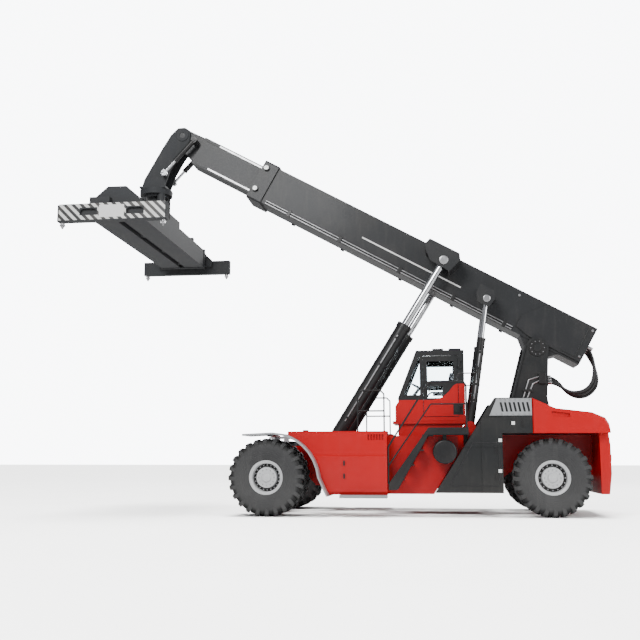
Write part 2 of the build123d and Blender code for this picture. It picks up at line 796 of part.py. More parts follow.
# Red skirt with a swept top edge, split at the door
skirt_points = [
    (aft(-3300), cab_floor_height),
    (aft(-3300), cab_floor_height + 330),
    (aft(-3210), cab_floor_height + 470),
    (aft(-2440), cab_floor_height + 470),
    (aft(-2240), cab_floor_height + 530),
    (aft(-2100), cab_floor_height + 650),
    (aft(-1990), cab_floor_height + 790),
    (aft(-1910), cab_floor_height + 830),
    (cab_rear_x - 10, cab_floor_height + 830),
    (cab_rear_x - 10, cab_floor_height),
]
skirt_depth = 8.0
skirt = side_plate(skirt_points, cab_half_width, cab_half_width + skirt_depth)
for hinge_z in hinge_heights:
    skirt -= block(
        hinge_x - 75, door_rear_x + 125,
        cab_half_width - 5, cab_half_width + 60,
        hinge_z - 115, hinge_z + 115,
    )
door_span = block(
    door_rear_x + 12, door_front_x - 12, 0, 2 * cab_half_width, door_low + 12, cab_roof_height
)
door_hole = block(door_rear_x - 2, door_front_x + 2, 0, 2 * cab_half_width, door_low - 2, cab_roof_height)
save("door_skirt", skirt & door_span)
cab_skirts = [
    skirt - door_hole, other_side(side_plate(skirt_points, cab_half_width, cab_half_width + skirt_depth))
]
save("cab_skirts", *cab_skirts)

# Cab base on the girders
cab_base = block(
    aft(-1745), aft(-3360), -cab_half_width, cab_half_width, cab_floor_height - 60, cab_floor_height
)
cab_base += block(aft(-1800), aft(-3240), -600, 600, 1650, cab_floor_height - 50)
for side in (1, -1):
    cab_base += block(aft(-1800), aft(-3240), side * 530, side * 640, girder_top, 1660)
save("cab_base", cab_base)

# Seat and console
floor_top = cab_floor_height + 60
seat = block(aft(-2120), aft(-2440), -160, 160, floor_top, floor_top + 300)
cushion = block(aft(-2050), aft(-2550), -250, 250, floor_top + 290, floor_top + 430)
cushion = fillet(cushion.edges(), 35)
backrest = side_plate(
    [
        (aft(-2050), floor_top + 380),
        (aft(-2170), floor_top + 380),
        (aft(-2070), floor_top + 1060),
        (aft(-1950), floor_top + 1060),
    ],
    -240,
    240,
    30,
)
seat += cushion
seat += backrest
for side in (1, -1):
    seat += block(aft(-2100), aft(-2460), side * 270, side * 350, floor_top + 560, floor_top + 610)
    seat += block(aft(-2100), aft(-2170), side * 230, side * 350, floor_top + 400, floor_top + 600)
save("operator_seat", seat)
wheel_centre = (aft(-2760), 0, floor_top + 730)
console = block(aft(-2820), aft(-3000), -140, 140, floor_top, floor_top + 560)
console += rod_between((aft(-2920), 0, floor_top + 520), wheel_centre, 35)
console += Pos(*wheel_centre) * Rot(0, -28, 0) * Torus(190, 18)
for spoke in (0, 120, 240):
    console += Pos(*wheel_centre) * Rot(0, -28, 0) * Rot(0, 0, spoke) * Pos(95, 0, 0) * Box(190, 28, 16)
save("cab_console", console)

# Lamps on the chassis and mirrors on the handrails
lamps = [block(lamp_gap[0] + 20, lamp_gap[1] - 20, -180, 180, cab_roof_height, cab_roof_height + 55)]
for side in (1, -1):
    lamps.append(Pos(frame_front + 25, side * 420, 1290) * Rot(0, 90, 0) * Cylinder(
        85, 70, align=(Align.CENTER, Align.CENTER, Align.MIN)
    ))
    lamps.append(block(aft(1245), aft(1255), side * 1080, side * 1280, 1180, 1300))
    for x, z in ((aft(-1060), 1600), (aft(-1075), 960), (aft(-780), 1960)):
        lamps.append(
            block(x - 35, x + 35, side * body_half_width, side * (body_half_width + 25), z - 35, z + 35)
        )
save("chassis_lamps", *lamps)
mirror_post = bent_tube(
    [
        (aft(-1930), rail_y, rail_top + rail_radius),
        (aft(-1930), rail_y, rail_top + 170),
        (aft(-1500), rail_y + 40, rail_top + 170),
    ],
    14,
    60,
)
mirror_post += side_plate(
    [
        (aft(-1520), rail_top + 20),
        (aft(-1500), rail_top + 20),
        (aft(-1480), rail_top + 330),
        (aft(-1510), rail_top + 330),
    ],
    rail_y - 60,
    rail_y + 140,
)
save("mirrors", *both_sides(mirror_post))

# Outer boom, built level with its pivot at the origin
outer = block(outer_tail, outer_front, -outer_half_width, outer_half_width, outer_bottom, outer_top)
collar = block(
    outer_front - collar_length,
    outer_front,
    -outer_half_width - collar_lip,
    outer_half_width + collar_lip,
    outer_bottom - collar_lip,
    outer_top + collar_lip,
)
outer += fillet(collar.edges().filter_by(Axis.X), 40)
outer -= block(
    outer_tail + 40,
    outer_front + 10,
    -outer_half_width + boom_wall,
    outer_half_width - boom_wall,
    outer_bottom + boom_wall,
    outer_top - boom_wall,
)
pad_start = outer_front - 300
pad_end = outer_front - 40
pad_reach = outer_half_width - boom_wall
outer += block(pad_start, pad_end, -250, 250, outer_bottom + 10, inner_bottom - 0.3)
outer += block(pad_start, pad_end, -250, 250, inner_top + 0.3, outer_top - 10)
for side in (1, -1):
    for low in (320, 710):
        outer += block(
            pad_start, pad_end, side * (inner_half_width + 0.3), side * (pad_reach + 5), low, low + 100
        )
pivot_tube = pin_y(0, 0, 240, -outer_half_width - 40, outer_half_width + 40)
saddle = [(-480, outer_bottom + 10), (-200, -140), (200, -140), (480, outer_bottom + 10)]
pivot_tube += side_plate(saddle, -outer_half_width + 20, outer_half_width - 20)
pivot_tube &= block(-600, 600, -500, 500, -400, outer_bottom + 10)
pivot_tube -= pin_y(0, 0, pivot_pin_radius + running_gap, -500, 500)
outer += pivot_tube

# Side doublers at the tail, and wings that carry the rod eyes of the cylinders
doubler = [
    (outer_tail, outer_bottom + 60),
    (outer_tail, outer_top - 30),
    (250, outer_top - 30),
    (640, outer_bottom + 420),
    (640, outer_bottom + 140),
    (300, outer_bottom + 60),
]
wing_top = outer_top
wing_out = cylinder_y + 140
front_cheek = [
    (lift_eye_along - 330, wing_top - 130),
    (lift_eye_along - 240, wing_top),
    (lift_eye_along + 512, wing_top),
    (lift_eye_along + 560, wing_top - 160),
    (lift_eye_along + 480, wing_top - 270),
    (lift_eye_along + 280, wing_top - 440),
    (lift_eye_along - 230, wing_top - 470),
]
for side in (1, -1):
    wall = side * (outer_half_width - 5)
    outer += side_plate(doubler, wall, side * (outer_half_width + 38))
    front_wing = side_plate(front_cheek, side * (wing_out - 35), side * wing_out)
    rear_web = [
        (lift_eye_along - 330, wing_top - 130),
        (lift_eye_along - 240, wing_top),
        (lift_eye_along - 205, wing_top),
        (lift_eye_along - 295, wing_top - 130),
        (lift_eye_along - 195, wing_top - 470),
        (lift_eye_along - 230, wing_top - 470),
    ]
    front_web = [
        (lift_eye_along + 482, wing_top),
        (lift_eye_along + 512, wing_top),
        (lift_eye_along + 560, wing_top - 160),
        (lift_eye_along + 480, wing_top - 270),
        (lift_eye_along + 450, wing_top - 270),
        (lift_eye_along + 530, wing_top - 160),
    ]
    front_wing += side_plate(rear_web, wall, side * wing_out)
    front_wing += side_plate(front_web, wall, side * wing_out)
    front_wing += block(
        lift_eye_along - 240, lift_eye_along + 512,
        wall, side * (cylinder_y - 110),
        wing_top - 30, wing_top,
    )
    outer += front_wing
    roof = hold_eye_across + 207
    rear_cheek = [
        (hold_eye_along - 170, roof - 150),
        (hold_eye_along - 60, roof + 30),
        (hold_eye_along + 272, roof + 30),
        (hold_eye_along + 272, roof - 200),
        (hold_eye_along + 150, roof - 350),
        (hold_eye_along - 130, roof - 350),
    ]
    rear_wing = side_plate(rear_cheek, side * (wing_out - 45), side * (wing_out - 10))
    rear_wing += block(
        hold_eye_along - 60, hold_eye_along + 272, wall, side * (wing_out - 10), roof, roof + 30
    )
    rear_slope = [
        (hold_eye_along - 170, roof - 150),
        (hold_eye_along - 60, roof + 30),
        (hold_eye_along - 30, roof + 30),
        (hold_eye_along - 140, roof - 150),
    ]
    rear_wing += side_plate(rear_slope, wall, side * (wing_out - 10))
    outer += rear_wing
outer += block(outer_tail - 12, outer_tail + 10, -250, 250, outer_bottom + 280, outer_bottom + 680)
save("outer_boom", boom_place * outer)
collar_side = outer_half_width + collar_lip
boom_lamps = []
for side in (1, -1):
    for along, across in ((outer_front - 110, 900), (outer_front - 110, 330)):
        boom_lamps.append(
            boom_place * pin_y(along, across, 62, side * collar_side, side * (collar_side + 55))
        )
save("boom_lamps", *boom_lamps)

# Inner boom with wear strips along its sides and a forked nose
inner = block(inner_tail, inner_front, -inner_half_width, inner_half_width, inner_bottom, inner_top)
inner -= block(
    inner_tail - 10,
    inner_front - 30,
    -inner_half_width + 18,
    inner_half_width - 18,
    inner_bottom + 18,
    inner_top - 18,
)
nose_points = [
    (inner_front - 40, inner_bottom + 60),
    (inner_front - 40, inner_top),
    (tip_along + 60, inner_top - 20),
    (tip_along + 170, tip_across + 60),
    (tip_along + 150, tip_across - 120),
    (tip_along - 150, tip_across - 330),
]
inner += side_plate(nose_points, -200, 200, 30)
inner += pin_y(tip_along, tip_across, tip_pin_radius, -275, 275)
damper_along = tip_along - 394
damper_across = tip_across - 10
for side in (1, -1):
    inner += pin_y(damper_along, damper_across, 40, side * 150, side * 480)
    inner += pin_y(damper_along, damper_across, 75, side * 190, side * 300)
    for low in (inner_bottom + 25, inner_top - 75):
        inner += block(
            inner_tail + 400, inner_front - 60,
            side * (inner_half_width - 2), side * (inner_half_width + 14),
            low, low + 50,
        )
save("inner_boom", boom_place * inner)


# Hydraulic cylinders
def cylinder_pair(base, eye, y, barrel, rod, eye_size, hole_start):
    """Barrels and rods on both sides, from the base pin to the eye pin, both (x, z).

    barrel is (length, radius), rod is (length, radius), eye_size is (radius, half width, pin radius).
    """
    way = Vector(eye[0] - base[0], 0, eye[1] - base[1])
    place = Plane(origin=(base[0], y, base[1]), x_dir=(0, 1, 0), z_dir=way)
    up = (Align.CENTER, Align.CENTER, Align.MIN)
    eye_radius, eye_half, pin_radius = eye_size
    tube = Pos(0, 0, 0.4 * eye_radius) * Cylinder(barrel[1], barrel[0] - 0.4 * eye_radius, align=up)
    tube += Pos(0, 0, barrel[0] - 0.7 * barrel[1]) * Cylinder(1.09 * barrel[1], 0.7 * barrel[1], align=up)
    tube += Rot(0, 90, 0) * Cylinder(eye_radius, 2 * eye_half)
    tube -= Rot(0, 90, 0) * Cylinder(pin_radius + running_gap, 4 * eye_half)
    tube -= Pos(0, 0, hole_start) * Cylinder(rod[1] + running_gap, barrel[0], align=up)
    bar = Pos(0, 0, way.length - rod[0]) * Cylinder(rod[1], rod[0], align=up)
    bar += Pos(0, 0, way.length) * Rot(0, 90, 0) * Cylinder(eye_radius, 2 * eye_half)
    return both_sides(place * tube), both_sides(place * bar)


lift_barrels, lift_rods = cylinder_pair(
    (lift_base_x, lift_base_height),
    on_boom(lift_eye_along, lift_eye_across),
    cylinder_y,
    (lift_barrel_length, lift_barrel_radius),
    (lift_rod_length, lift_rod_radius),
    (lift_eye_radius, 90, lift_pin_radius),
    350,
)
save("lift_barrels", *lift_barrels)
save("lift_rods", *lift_rods)
hold_barrels, hold_rods = cylinder_pair(
    (hold_base_x, hold_base_height),
    on_boom(hold_eye_along, hold_eye_across),
    cylinder_y,
    (hold_barrel_length, hold_barrel_radius),
    (hold_rod_length, hold_rod_radius),
    (hold_eye_radius, 70, hold_pin_radius),
    500,
)
save("hold_barrels", *hold_barrels)
save("hold_rods", *hold_rods)

# Yoke, dampers and rotator
yoke_points = [
    (-190, 110),
    (-60, 200),
    (120, 195),
    (300, 20),
    (500, -300),
    (950, -1100),
    (1010, -1300),
    (440, -1300),
    (300, -900),
    (80, -500),
    (-180, -150),
]
yoke_outline = [(tip_x + x, tip_z + z) for x, z in yoke_points]
yoke_plate_top = tip_z - 1290
yoke_plate_bottom = tip_z - 1340
yoke = side_plate(yoke_outline, 215, 265, 50)
yoke += pin_y(tip_x, tip_z, 150, 255, 285)
yoke -= pin_y(tip_x, tip_z, tip_pin_radius + running_gap, 200, 300)
yoke += other_side(yoke)
yoke += block(slew_x - 330, slew_x + 330, -330, 330, yoke_plate_bottom, yoke_plate_top)
front_sheet = [(560, -440), (940, -1110), (985, -1290), (955, -1290), (905, -1110), (525, -440)]
yoke += side_plate([(tip_x + x, tip_z + z) for x, z in front_sheet], -220, 220)
damper_foot = (tip_x + 400, tip_z - 1000)
for side in (1, -1):
    yoke += pin_y(damper_foot[0], damper_foot[1], 70, side * 255, side * 369)
save("yoke", yoke)
damper_barrels, damper_rods = cylinder_pair(
    on_boom(damper_along, damper_across),
    damper_foot,
    420,
    (700, 62),
    (690, 34),
    (75, 45, 40),
    150,
)
save("damper_barrels", *damper_barrels)
save("damper_rods", *damper_rods)
column_top = yoke_plate_bottom - 0.3
carriage_top = lock_z + 860
rotator = post(slew_x, 0, 400, column_top - 140, column_top)
rotator += post(slew_x, 0, 300, column_top - 190, column_top - 130)
rotator += post(slew_x, 0, 170, carriage_top - 10, column_top - 180)
rotator += post(slew_x, 0, 260, carriage_top - 10, carriage_top + 60)
rotator += block(slew_x - 500, slew_x + 500, -420, 420, lock_z + 700, carriage_top)
for side in (1, -1):
    rotator += post(slew_x - 200, side * 230, 95, carriage_top - 10, column_top - 139)
save("rotator", rotator)

# Spreader: a side-shifting frame of two tubes, and an arm that slides in each
tube_half = 260.0
tube_low = lock_z + 140
tube_high = lock_z + 620
tube_wall = 25.0
spreader = None
for centre in (slew_x + arm_offset, slew_x - arm_offset):
    tube = block(
        centre - tube_half, centre + tube_half, -frame_half_length, frame_half_length, tube_low, tube_high
    )
    tube -= block(
        centre - tube_half + tube_wall,
        centre + tube_half - tube_wall,
        -frame_half_length - 5,
        frame_half_length + 5,
        tube_low + tube_wall,
        tube_high - tube_wall,
    )
    spreader = tube if spreader is None else spreader + tube
for y in (300 - frame_half_length, -800, 800, frame_half_length - 300):
    spreader += block(slew_x - 80, slew_x + 80, y - 100, y + 100, tube_low + 60, tube_high - 60)
for y in (-1400, 1400):
    spreader += block(slew_x - 590, slew_x + 590, y - 60, y + 60, tube_high - 5, lock_z + 690)
for x in (-440, 440):
    spreader += block(slew_x + x - 40, slew_x + x + 40, -1400, 1400, tube_high - 5, lock_z + 699.5)
for side in (1, -1):
    pad_x = slew_x + arm_offset * side
    pad_y = side * (frame_half_length - 10)
    spreader += block(pad_x - 200, pad_x + 200, pad_y - side * 190, pad_y, tube_low + 20, tube_low + 34.7)
    lip = block(
        slew_x - 610, slew_x + 610,
        side * (frame_half_length - 120), side * (frame_half_length - 40),
        tube_low - 20, tube_high + 20,
    )
    lip -= block(
        slew_x - 589, slew_x + 589,
        side * (frame_half_length - 150), side * (frame_half_length + 10),
        tube_low + 1, tube_high - 1,
    )
    spreader += lip
save("spreader_frame", spreader)


def arm(side):
    """Telescopic arm with its end beam, side is the way it slides out along Y."""
    centre = slew_x + arm_offset * side
    beam_in = spreader_half_length - 180
    made = block(
        centre - 225, centre + 225,
        side * (300 - frame_half_length), side * (beam_in + 50),
        tube_low + 35, tube_high - 35,
    )
    end_beam = block(
        slew_x - spreader_half_width,
        slew_x + spreader_half_width,
        side * beam_in,
        side * spreader_half_length,
        lock_z + 20,
        lock_z + 390,
    )
    for x in (-520, 520):
        slot = block(
            slew_x + x - 110, slew_x + x + 110,
            side * (spreader_half_length - 60), side * (spreader_half_length + 10),
            lock_z + 130, lock_z + 290,
        )
        for edge in (-110, 110):
            slot += pin_y(
                slew_x + x + edge, lock_z + 210, 80,
                side * (spreader_half_length - 60), side * (spreader_half_length + 10),
            )
        end_beam -= slot
    made += end_beam
    gable = [(-760, 385), (-210, 860), (210, 860), (760, 385), (760, 200), (-760, 200)]
    made += side_plate(
        [(slew_x + x, lock_z + z) for x, z in gable], side * (beam_in - 170), side * (beam_in - 110)
    )
    for x in (-600, 560):
        made += block(
            slew_x + x, slew_x + x + 40,
            side * (beam_in - 115), side * (beam_in + 10),
            lock_z + 200, lock_z + 380,
        )
    return made


def locks(side):
    """Two twistlocks under an end beam, each a shank and a turned cone head."""
    made = []
    for way in (-1, 1):
        x = slew_x + way * (spreader_half_width - lock_inset)
        y = side * (spreader_half_length - lock_inset)
        lock = post(x, y, 48, lock_z - 45, lock_z + 20)
        head = Pos(x, y, lock_z - 45) * Box(104, 60, 40)
        tip = Pos(x, y, lock_z - 65) * Rot(180, 0, 0) * Cone(
            45, 14, 60, align=(Align.CENTER, Align.CENTER, Align.MIN)
        )
        made.append(lock + head + tip)
    return made


save("arm_left", arm(1))
save("arm_right", arm(-1))
save("twistlocks_left", *locks(1))
save("twistlocks_right", *locks(-1))

# Hoses that hang free from the tower to the boom's tail
hose_radius = 36.0
hose_gap = 90.0
hose_step = 70.0
for count in range(3):
    y = (count - 1) * hose_gap
    inset = count * hose_step
    start_z = hose_plate_z + 90 - inset
    end_x, end_z = on_boom(outer_tail - 12, outer_bottom + 420 + 0.6 * inset)
    lead_x, lead_z = on_boom(outer_tail - 260 + 0.5 * inset, outer_bottom + 420 + 0.6 * inset)
    points = [
        (pivot_x - 215, y, start_z),
        (pivot_x - 420, y, start_z),
        (pivot_x - 760, y, hose_plate_z - 400 + inset),
        (pivot_x - 1090, y, hose_plate_z - 440 + inset),
        (pivot_x - 1330 + inset, y, hose_plate_z - 120 + inset),
        (lead_x, y, lead_z),
        (end_x, y, end_z),
    ]
    save(f"tail_hose_{count + 1}", bent_tube(points, hose_radius, 150))
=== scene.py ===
import json
import math

import bmesh
import bpy
from mathutils import Matrix, Vector


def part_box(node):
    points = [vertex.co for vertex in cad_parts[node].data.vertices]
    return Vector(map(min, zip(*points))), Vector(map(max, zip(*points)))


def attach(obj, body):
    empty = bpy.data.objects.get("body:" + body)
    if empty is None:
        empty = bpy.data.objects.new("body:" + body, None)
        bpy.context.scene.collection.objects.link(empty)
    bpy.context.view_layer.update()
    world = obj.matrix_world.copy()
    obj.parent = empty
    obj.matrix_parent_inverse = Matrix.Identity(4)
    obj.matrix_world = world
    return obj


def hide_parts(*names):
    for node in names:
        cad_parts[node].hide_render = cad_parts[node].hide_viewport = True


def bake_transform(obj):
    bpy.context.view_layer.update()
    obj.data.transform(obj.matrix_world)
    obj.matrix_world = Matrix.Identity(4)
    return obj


bl_info = {
    "name": "Reach stacker dressing",
    "version": (1, 0, 0),
    "blender": (4, 5, 0),
    "location": "View3D > Sidebar > Reach stacker",
    "description": "Paints a packed reach stacker and adds its hoses, trim, fasteners and stage",
    "category": "Object",
}

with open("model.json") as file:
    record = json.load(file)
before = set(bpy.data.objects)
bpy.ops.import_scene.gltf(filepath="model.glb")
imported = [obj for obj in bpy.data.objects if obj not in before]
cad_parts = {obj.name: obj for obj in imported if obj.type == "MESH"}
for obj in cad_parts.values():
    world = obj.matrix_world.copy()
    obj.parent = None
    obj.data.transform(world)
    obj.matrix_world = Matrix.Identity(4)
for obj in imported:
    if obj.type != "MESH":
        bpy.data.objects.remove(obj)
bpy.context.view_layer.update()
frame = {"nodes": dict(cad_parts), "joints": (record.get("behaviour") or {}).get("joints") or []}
joints = {joint["name"]: joint for joint in frame["joints"]}
boom_pivot = Vector(joints["boom_lift"]["pos_m"])
boom_way = Vector(joints["boom_extend"]["axis"])
boom_up = Vector((-boom_way.z, 0.0, boom_way.x))
along_boom = Matrix((boom_way, (0, 1, 0), boom_up)).transposed().to_4x4()
sides = ((1, "left"), (-1, "right"))


def on_boom(along, across, y):
    """Point measured along and across the boom from its pivot, at a sideways place y."""
    point = boom_pivot + boom_way * along + boom_up * across
    return Vector((point.x, y, point.z))


# Settings that a user would change


def colour_setting(name, description, default):
    return bpy.props.FloatVectorProperty(
        name=name, description=description, subtype="COLOR", size=3, min=0.0, max=1.0, default=default
    )


def length_setting(name, description, default):
    return bpy.props.FloatProperty(name=name, description=description, unit="LENGTH", default=default)


def angle_setting(name, description, degrees):
    return bpy.props.FloatProperty(
        name=name, description=description, subtype="ANGLE", default=math.radians(degrees)
    )


def nut_setting(name, description, default):
    return bpy.props.IntProperty(name=name, description=description, min=6, max=40, default=default)


class PaintSettings(bpy.types.PropertyGroup):
    """Colours of the paints and how dusty they are"""

    signal_red: colour_setting("Signal red", "Tanks, hood, counterweight and cab skirt", (0.56, 0.0, 0.003))
    boom_grey: colour_setting("Boom grey", "Outer and inner boom", (0.016, 0.017, 0.019))
    charcoal: colour_setting("Charcoal", "Cab, tower and engine covers", (0.014, 0.015, 0.016))
    silver: colour_setting("Silver grey", "Mudguards, louvre panels and side bars", (0.36, 0.37, 0.38))
    attachment_grey: colour_setting("Attachment grey", "Yoke, rotator and spreader", (0.030, 0.032, 0.035))
    dust_amount: bpy.props.FloatProperty(
        name="Dust",
        description="How much pale dust lies on the paint",
        subtype="FACTOR",
        min=0.0,
        max=1.0,
        default=0.05,
    )


class TrimSettings(bpy.types.PropertyGroup):
    """Sizes of hoses, fasteners, seals and stripes"""

    hose_diameter: length_setting("Tail hose diameter", "Outside of the hoses behind the tower", 0.072)
    pipe_diameter: length_setting("Pipe diameter", "Oil pipes on the boom, tower and cylinders", 0.034)
    front_nuts: nut_setting("Front wheel nuts", "Nuts on each front wheel", 20)
    rear_nuts: nut_setting("Rear wheel nuts", "Nuts on each rear wheel", 16)
    nut_radius: length_setting("Nut radius", "Half the width of a wheel nut", 0.021)
    bolt_radius: length_setting("Bolt radius", "Half the width of a panel bolt", 0.014)
    seal_radius: length_setting("Seal radius", "Half the width of a window seal", 0.013)
    stripe_width: length_setting("Hazard stripe width", "Width of one diagonal stripe", 0.065)
    stud_pitch: length_setting("Stud pitch", "Distance between the deck's grip studs", 0.055)


class StageSettings(bpy.types.PropertyGroup):
    """Camera, floor and light"""

    camera_place: bpy.props.FloatVectorProperty(
        name="Camera place",
        description="Where the camera stands",
        subtype="TRANSLATION",
        size=3,
        default=(-2.205, 20.97, 1.2545),
    )
    camera_turn: angle_setting("Camera turn", "Angle towards the front of the machine", 7.35)
    camera_tilt: angle_setting("Camera tilt", "Angle above the horizon", 8.70)
    lens: bpy.props.FloatProperty(
        name="Lens", description="Focal length on a 36 mm sensor", subtype="DISTANCE_CAMERA", default=50.3
    )
    floor_size: length_setting("Floor size", "Side of the floor", 240.0)


# Shader effects that several finishes share


def plug(tree, value, slot):
    """Links a socket to the one that feeds it, or sets it to a plain value."""
    if isinstance(value, bpy.types.NodeSocket):
        tree.links.new(value, slot)
    else:
        slot.default_value = value


def add_node(tree, kind, inputs=(), **settings):
    """Node with its settings and its inputs, each a value or the socket that feeds it."""
    node = tree.nodes.new(kind)
    for label, value in settings.items():
        setattr(node, label, value)
    for label, value in dict(inputs).items():
        plug(tree, value, node.inputs[label])
    return node


def effect_group(name, inputs, outputs):
    group = bpy.data.node_groups.new(name, "ShaderNodeTree")
    for label, kind, value in inputs:
        socket = group.interface.new_socket(label, in_out="INPUT", socket_type=kind)
        socket.default_value = value
    for label, kind in outputs:
        group.interface.new_socket(label, in_out="OUTPUT", socket_type=kind)
    return group, group.nodes.new("NodeGroupInput").outputs, group.nodes.new("NodeGroupOutput").inputs


def object_place(tree):
    return add_node(tree, "ShaderNodeTexCoord").outputs["Object"]


def noise(tree, source, scale, detail):
    inputs = {"Vector": source, "Scale": scale, "Detail": detail}
    return add_node(tree, "ShaderNodeTexNoise", inputs).outputs["Fac"]


def wave(tree, way, scale):
    inputs = {"Vector": object_place(tree), "Scale": scale}
    return add_node(tree, "ShaderNodeTexWave", inputs, bands_direction=way).outputs["Fac"]


def maths(tree, kind, first, second=0.0):
    return add_node(tree, "ShaderNodeMath", {0: first, 1: second}, operation=kind).outputs[0]


def stepped(tree, source, low, high):
    inputs = {"Value": source, "From Min": low, "From Max": high}
    return add_node(tree, "ShaderNodeMapRange", inputs, interpolation_type="SMOOTHSTEP").outputs["Result"]


def mixed(tree, factor, first, second):
    node = add_node(tree, "ShaderNodeMix", data_type="RGBA")
    for label, value in (("Factor", factor), ("A", first), ("B", second)):
        plug(tree, value, [slot for slot in node.inputs if slot.name == label and slot.enabled][0])
    return [socket for socket in node.outputs if socket.enabled][0]


def road_dust_group():
    """Pale dust in patches and streaks, thicker near the ground, with a slightly uneven paint film."""
    group, given, made = effect_group(
        "road_dust",
        [
            ("Paint", "NodeSocketColor", (0.5, 0.5, 0.5, 1.0)),
            ("Dust", "NodeSocketColor", (0.30, 0.27, 0.23, 1.0)),
            ("Amount", "NodeSocketFloat", 0.2),
            ("Roughness", "NodeSocketFloat", 0.4),
        ],
        [("Color", "NodeSocketColor"), ("Roughness", "NodeSocketFloat"), ("Height", "NodeSocketFloat")],
    )
    place = object_place(group)
    height = add_node(group, "ShaderNodeSeparateXYZ", {0: place}).outputs["Z"]
    stretch = add_node(group, "ShaderNodeMapping", {"Vector": place, "Scale": (9.0, 9.0, 1.1)}).outputs[0]
    patches = stepped(group, noise(group, place, 1.7, 6.0), 0.42, 0.72)
    streaks = stepped(group, noise(group, stretch, 1.0, 4.0), 0.50, 0.74)
    low_down = stepped(group, height, 1.5, 0.1)
    cover = maths(group, "MULTIPLY", patches, 0.6)
    cover = maths(group, "ADD", cover, maths(group, "MULTIPLY", streaks, 0.5))
    cover = maths(group, "ADD", cover, maths(group, "MULTIPLY", low_down, 0.8))
    cover = maths(group, "MULTIPLY", cover, given["Amount"])
    cover = maths(group, "MINIMUM", cover, 0.9)
    tint = maths(group, "MULTIPLY", noise(group, place, 0.9, 3.0), 0.16)
    shade = mixed(group, tint, given["Paint"], (0.0, 0.0, 0.0, 1.0))
    plug(group, mixed(group, cover, shade, given["Dust"]), made["Color"])
    rough = maths(group, "ADD", given["Roughness"], maths(group, "MULTIPLY", cover, 0.4))
    plug(group, rough, made["Roughness"])
    plug(group, noise(group, place, 60.0, 2.0), made["Height"])
    return group


def fine_scuffs_group():
    """Thin bright scuffs and darker blotches for steel and rubber that show wear."""
    group, given, made = effect_group(
        "fine_scuffs",
        [
            ("Base", "NodeSocketColor", (0.5, 0.5, 0.5, 1.0)),
            ("Scuff", "NodeSocketColor", (0.7, 0.7, 0.7, 1.0)),
            ("Amount", "NodeSocketFloat", 0.3),
            ("Scale", "NodeSocketFloat", 6.0),
        ],
        [("Color", "NodeSocketColor"), ("Mask", "NodeSocketFloat"), ("Height", "NodeSocketFloat")],
    )
    inputs = {0: object_place(group), "Scale": given["Scale"]}
    place = add_node(group, "ShaderNodeVectorMath", inputs, operation="SCALE").outputs[0]
    stretch = add_node(group, "ShaderNodeMapping", {"Vector": place, "Scale": (1.0, 8.0, 14.0)}).outputs[0]
    thin = stepped(group, noise(group, stretch, 1.0, 5.0), 0.58, 0.70)
    blotch = stepped(group, noise(group, place, 0.7, 4.0), 0.35, 0.75)
    mask = maths(group, "MULTIPLY", thin, given["Amount"])
    stain = maths(group, "MULTIPLY", blotch, 0.35)
    dark = mixed(group, stain, given["Base"], (0.01, 0.01, 0.01, 1.0))
    plug(group, mixed(group, mask, dark, given["Scuff"]), made["Color"])
    plug(group, mask, made["Mask"])
    plug(group, noise(group, place, 12.0, 3.0), made["Height"])
    return group


road_dust = road_dust_group()
fine_scuffs = fine_scuffs_group()
finishes = {}


def effect_node(tree, effect, **inputs):
    return add_node(tree, "ShaderNodeGroup", inputs, node_tree=effect).outputs


def feed(tree, shader, **sockets):
    for label, value in sockets.items():
        plug(tree, value, shader.inputs[label.replace("_", " ")])


def new_finish(name, **sockets):
    material = bpy.data.materials.new(name)
    material.use_nodes = True
    shader = material.node_tree.nodes["Principled BSDF"]
    feed(material.node_tree, shader, **sockets)
    finishes[name] = material
    return material.node_tree, shader


def add_bump(tree, shader, height, strength, distance):
    inputs = {"Height": height, "Strength": strength, "Distance": distance}
    feed(tree, shader, Normal=add_node(tree, "ShaderNodeBump", inputs).outputs["Normal"])


def solid(colour, strength=1.0):
    return (*(strength * share for share in colour), 1.0)


def paint(name, colour, dust, roughness=0.4, coat=0.1):
    tree, shader = new_finish(name, Specular_IOR_Level=0.3, Coat_Weight=coat, Coat_Roughness=0.15)
    effect = effect_node(tree, road_dust, Paint=solid(colour), Amount=dust, Roughness=roughness)
    feed(tree, shader, Base_Color=effect["Color"], Roughness=effect["Roughness"])
    add_bump(tree, shader, effect["Height"], 0.06, 0.002)


def worn_metal(name, colour, scuff, amount, roughness, metallic, scale=6.0):
    tree, shader = new_finish(name, Metallic=metallic)
    effect = effect_node(
        tree, fine_scuffs, Base=solid(colour), Scuff=solid(scuff), Amount=amount, Scale=scale
    )
    rough = maths(tree, "ADD", maths(tree, "MULTIPLY", effect["Mask"], 0.2), roughness)
    feed(tree, shader, Base_Color=effect["Color"], Roughness=rough)
    add_bump(tree, shader, effect["Height"], 0.08, 0.001)


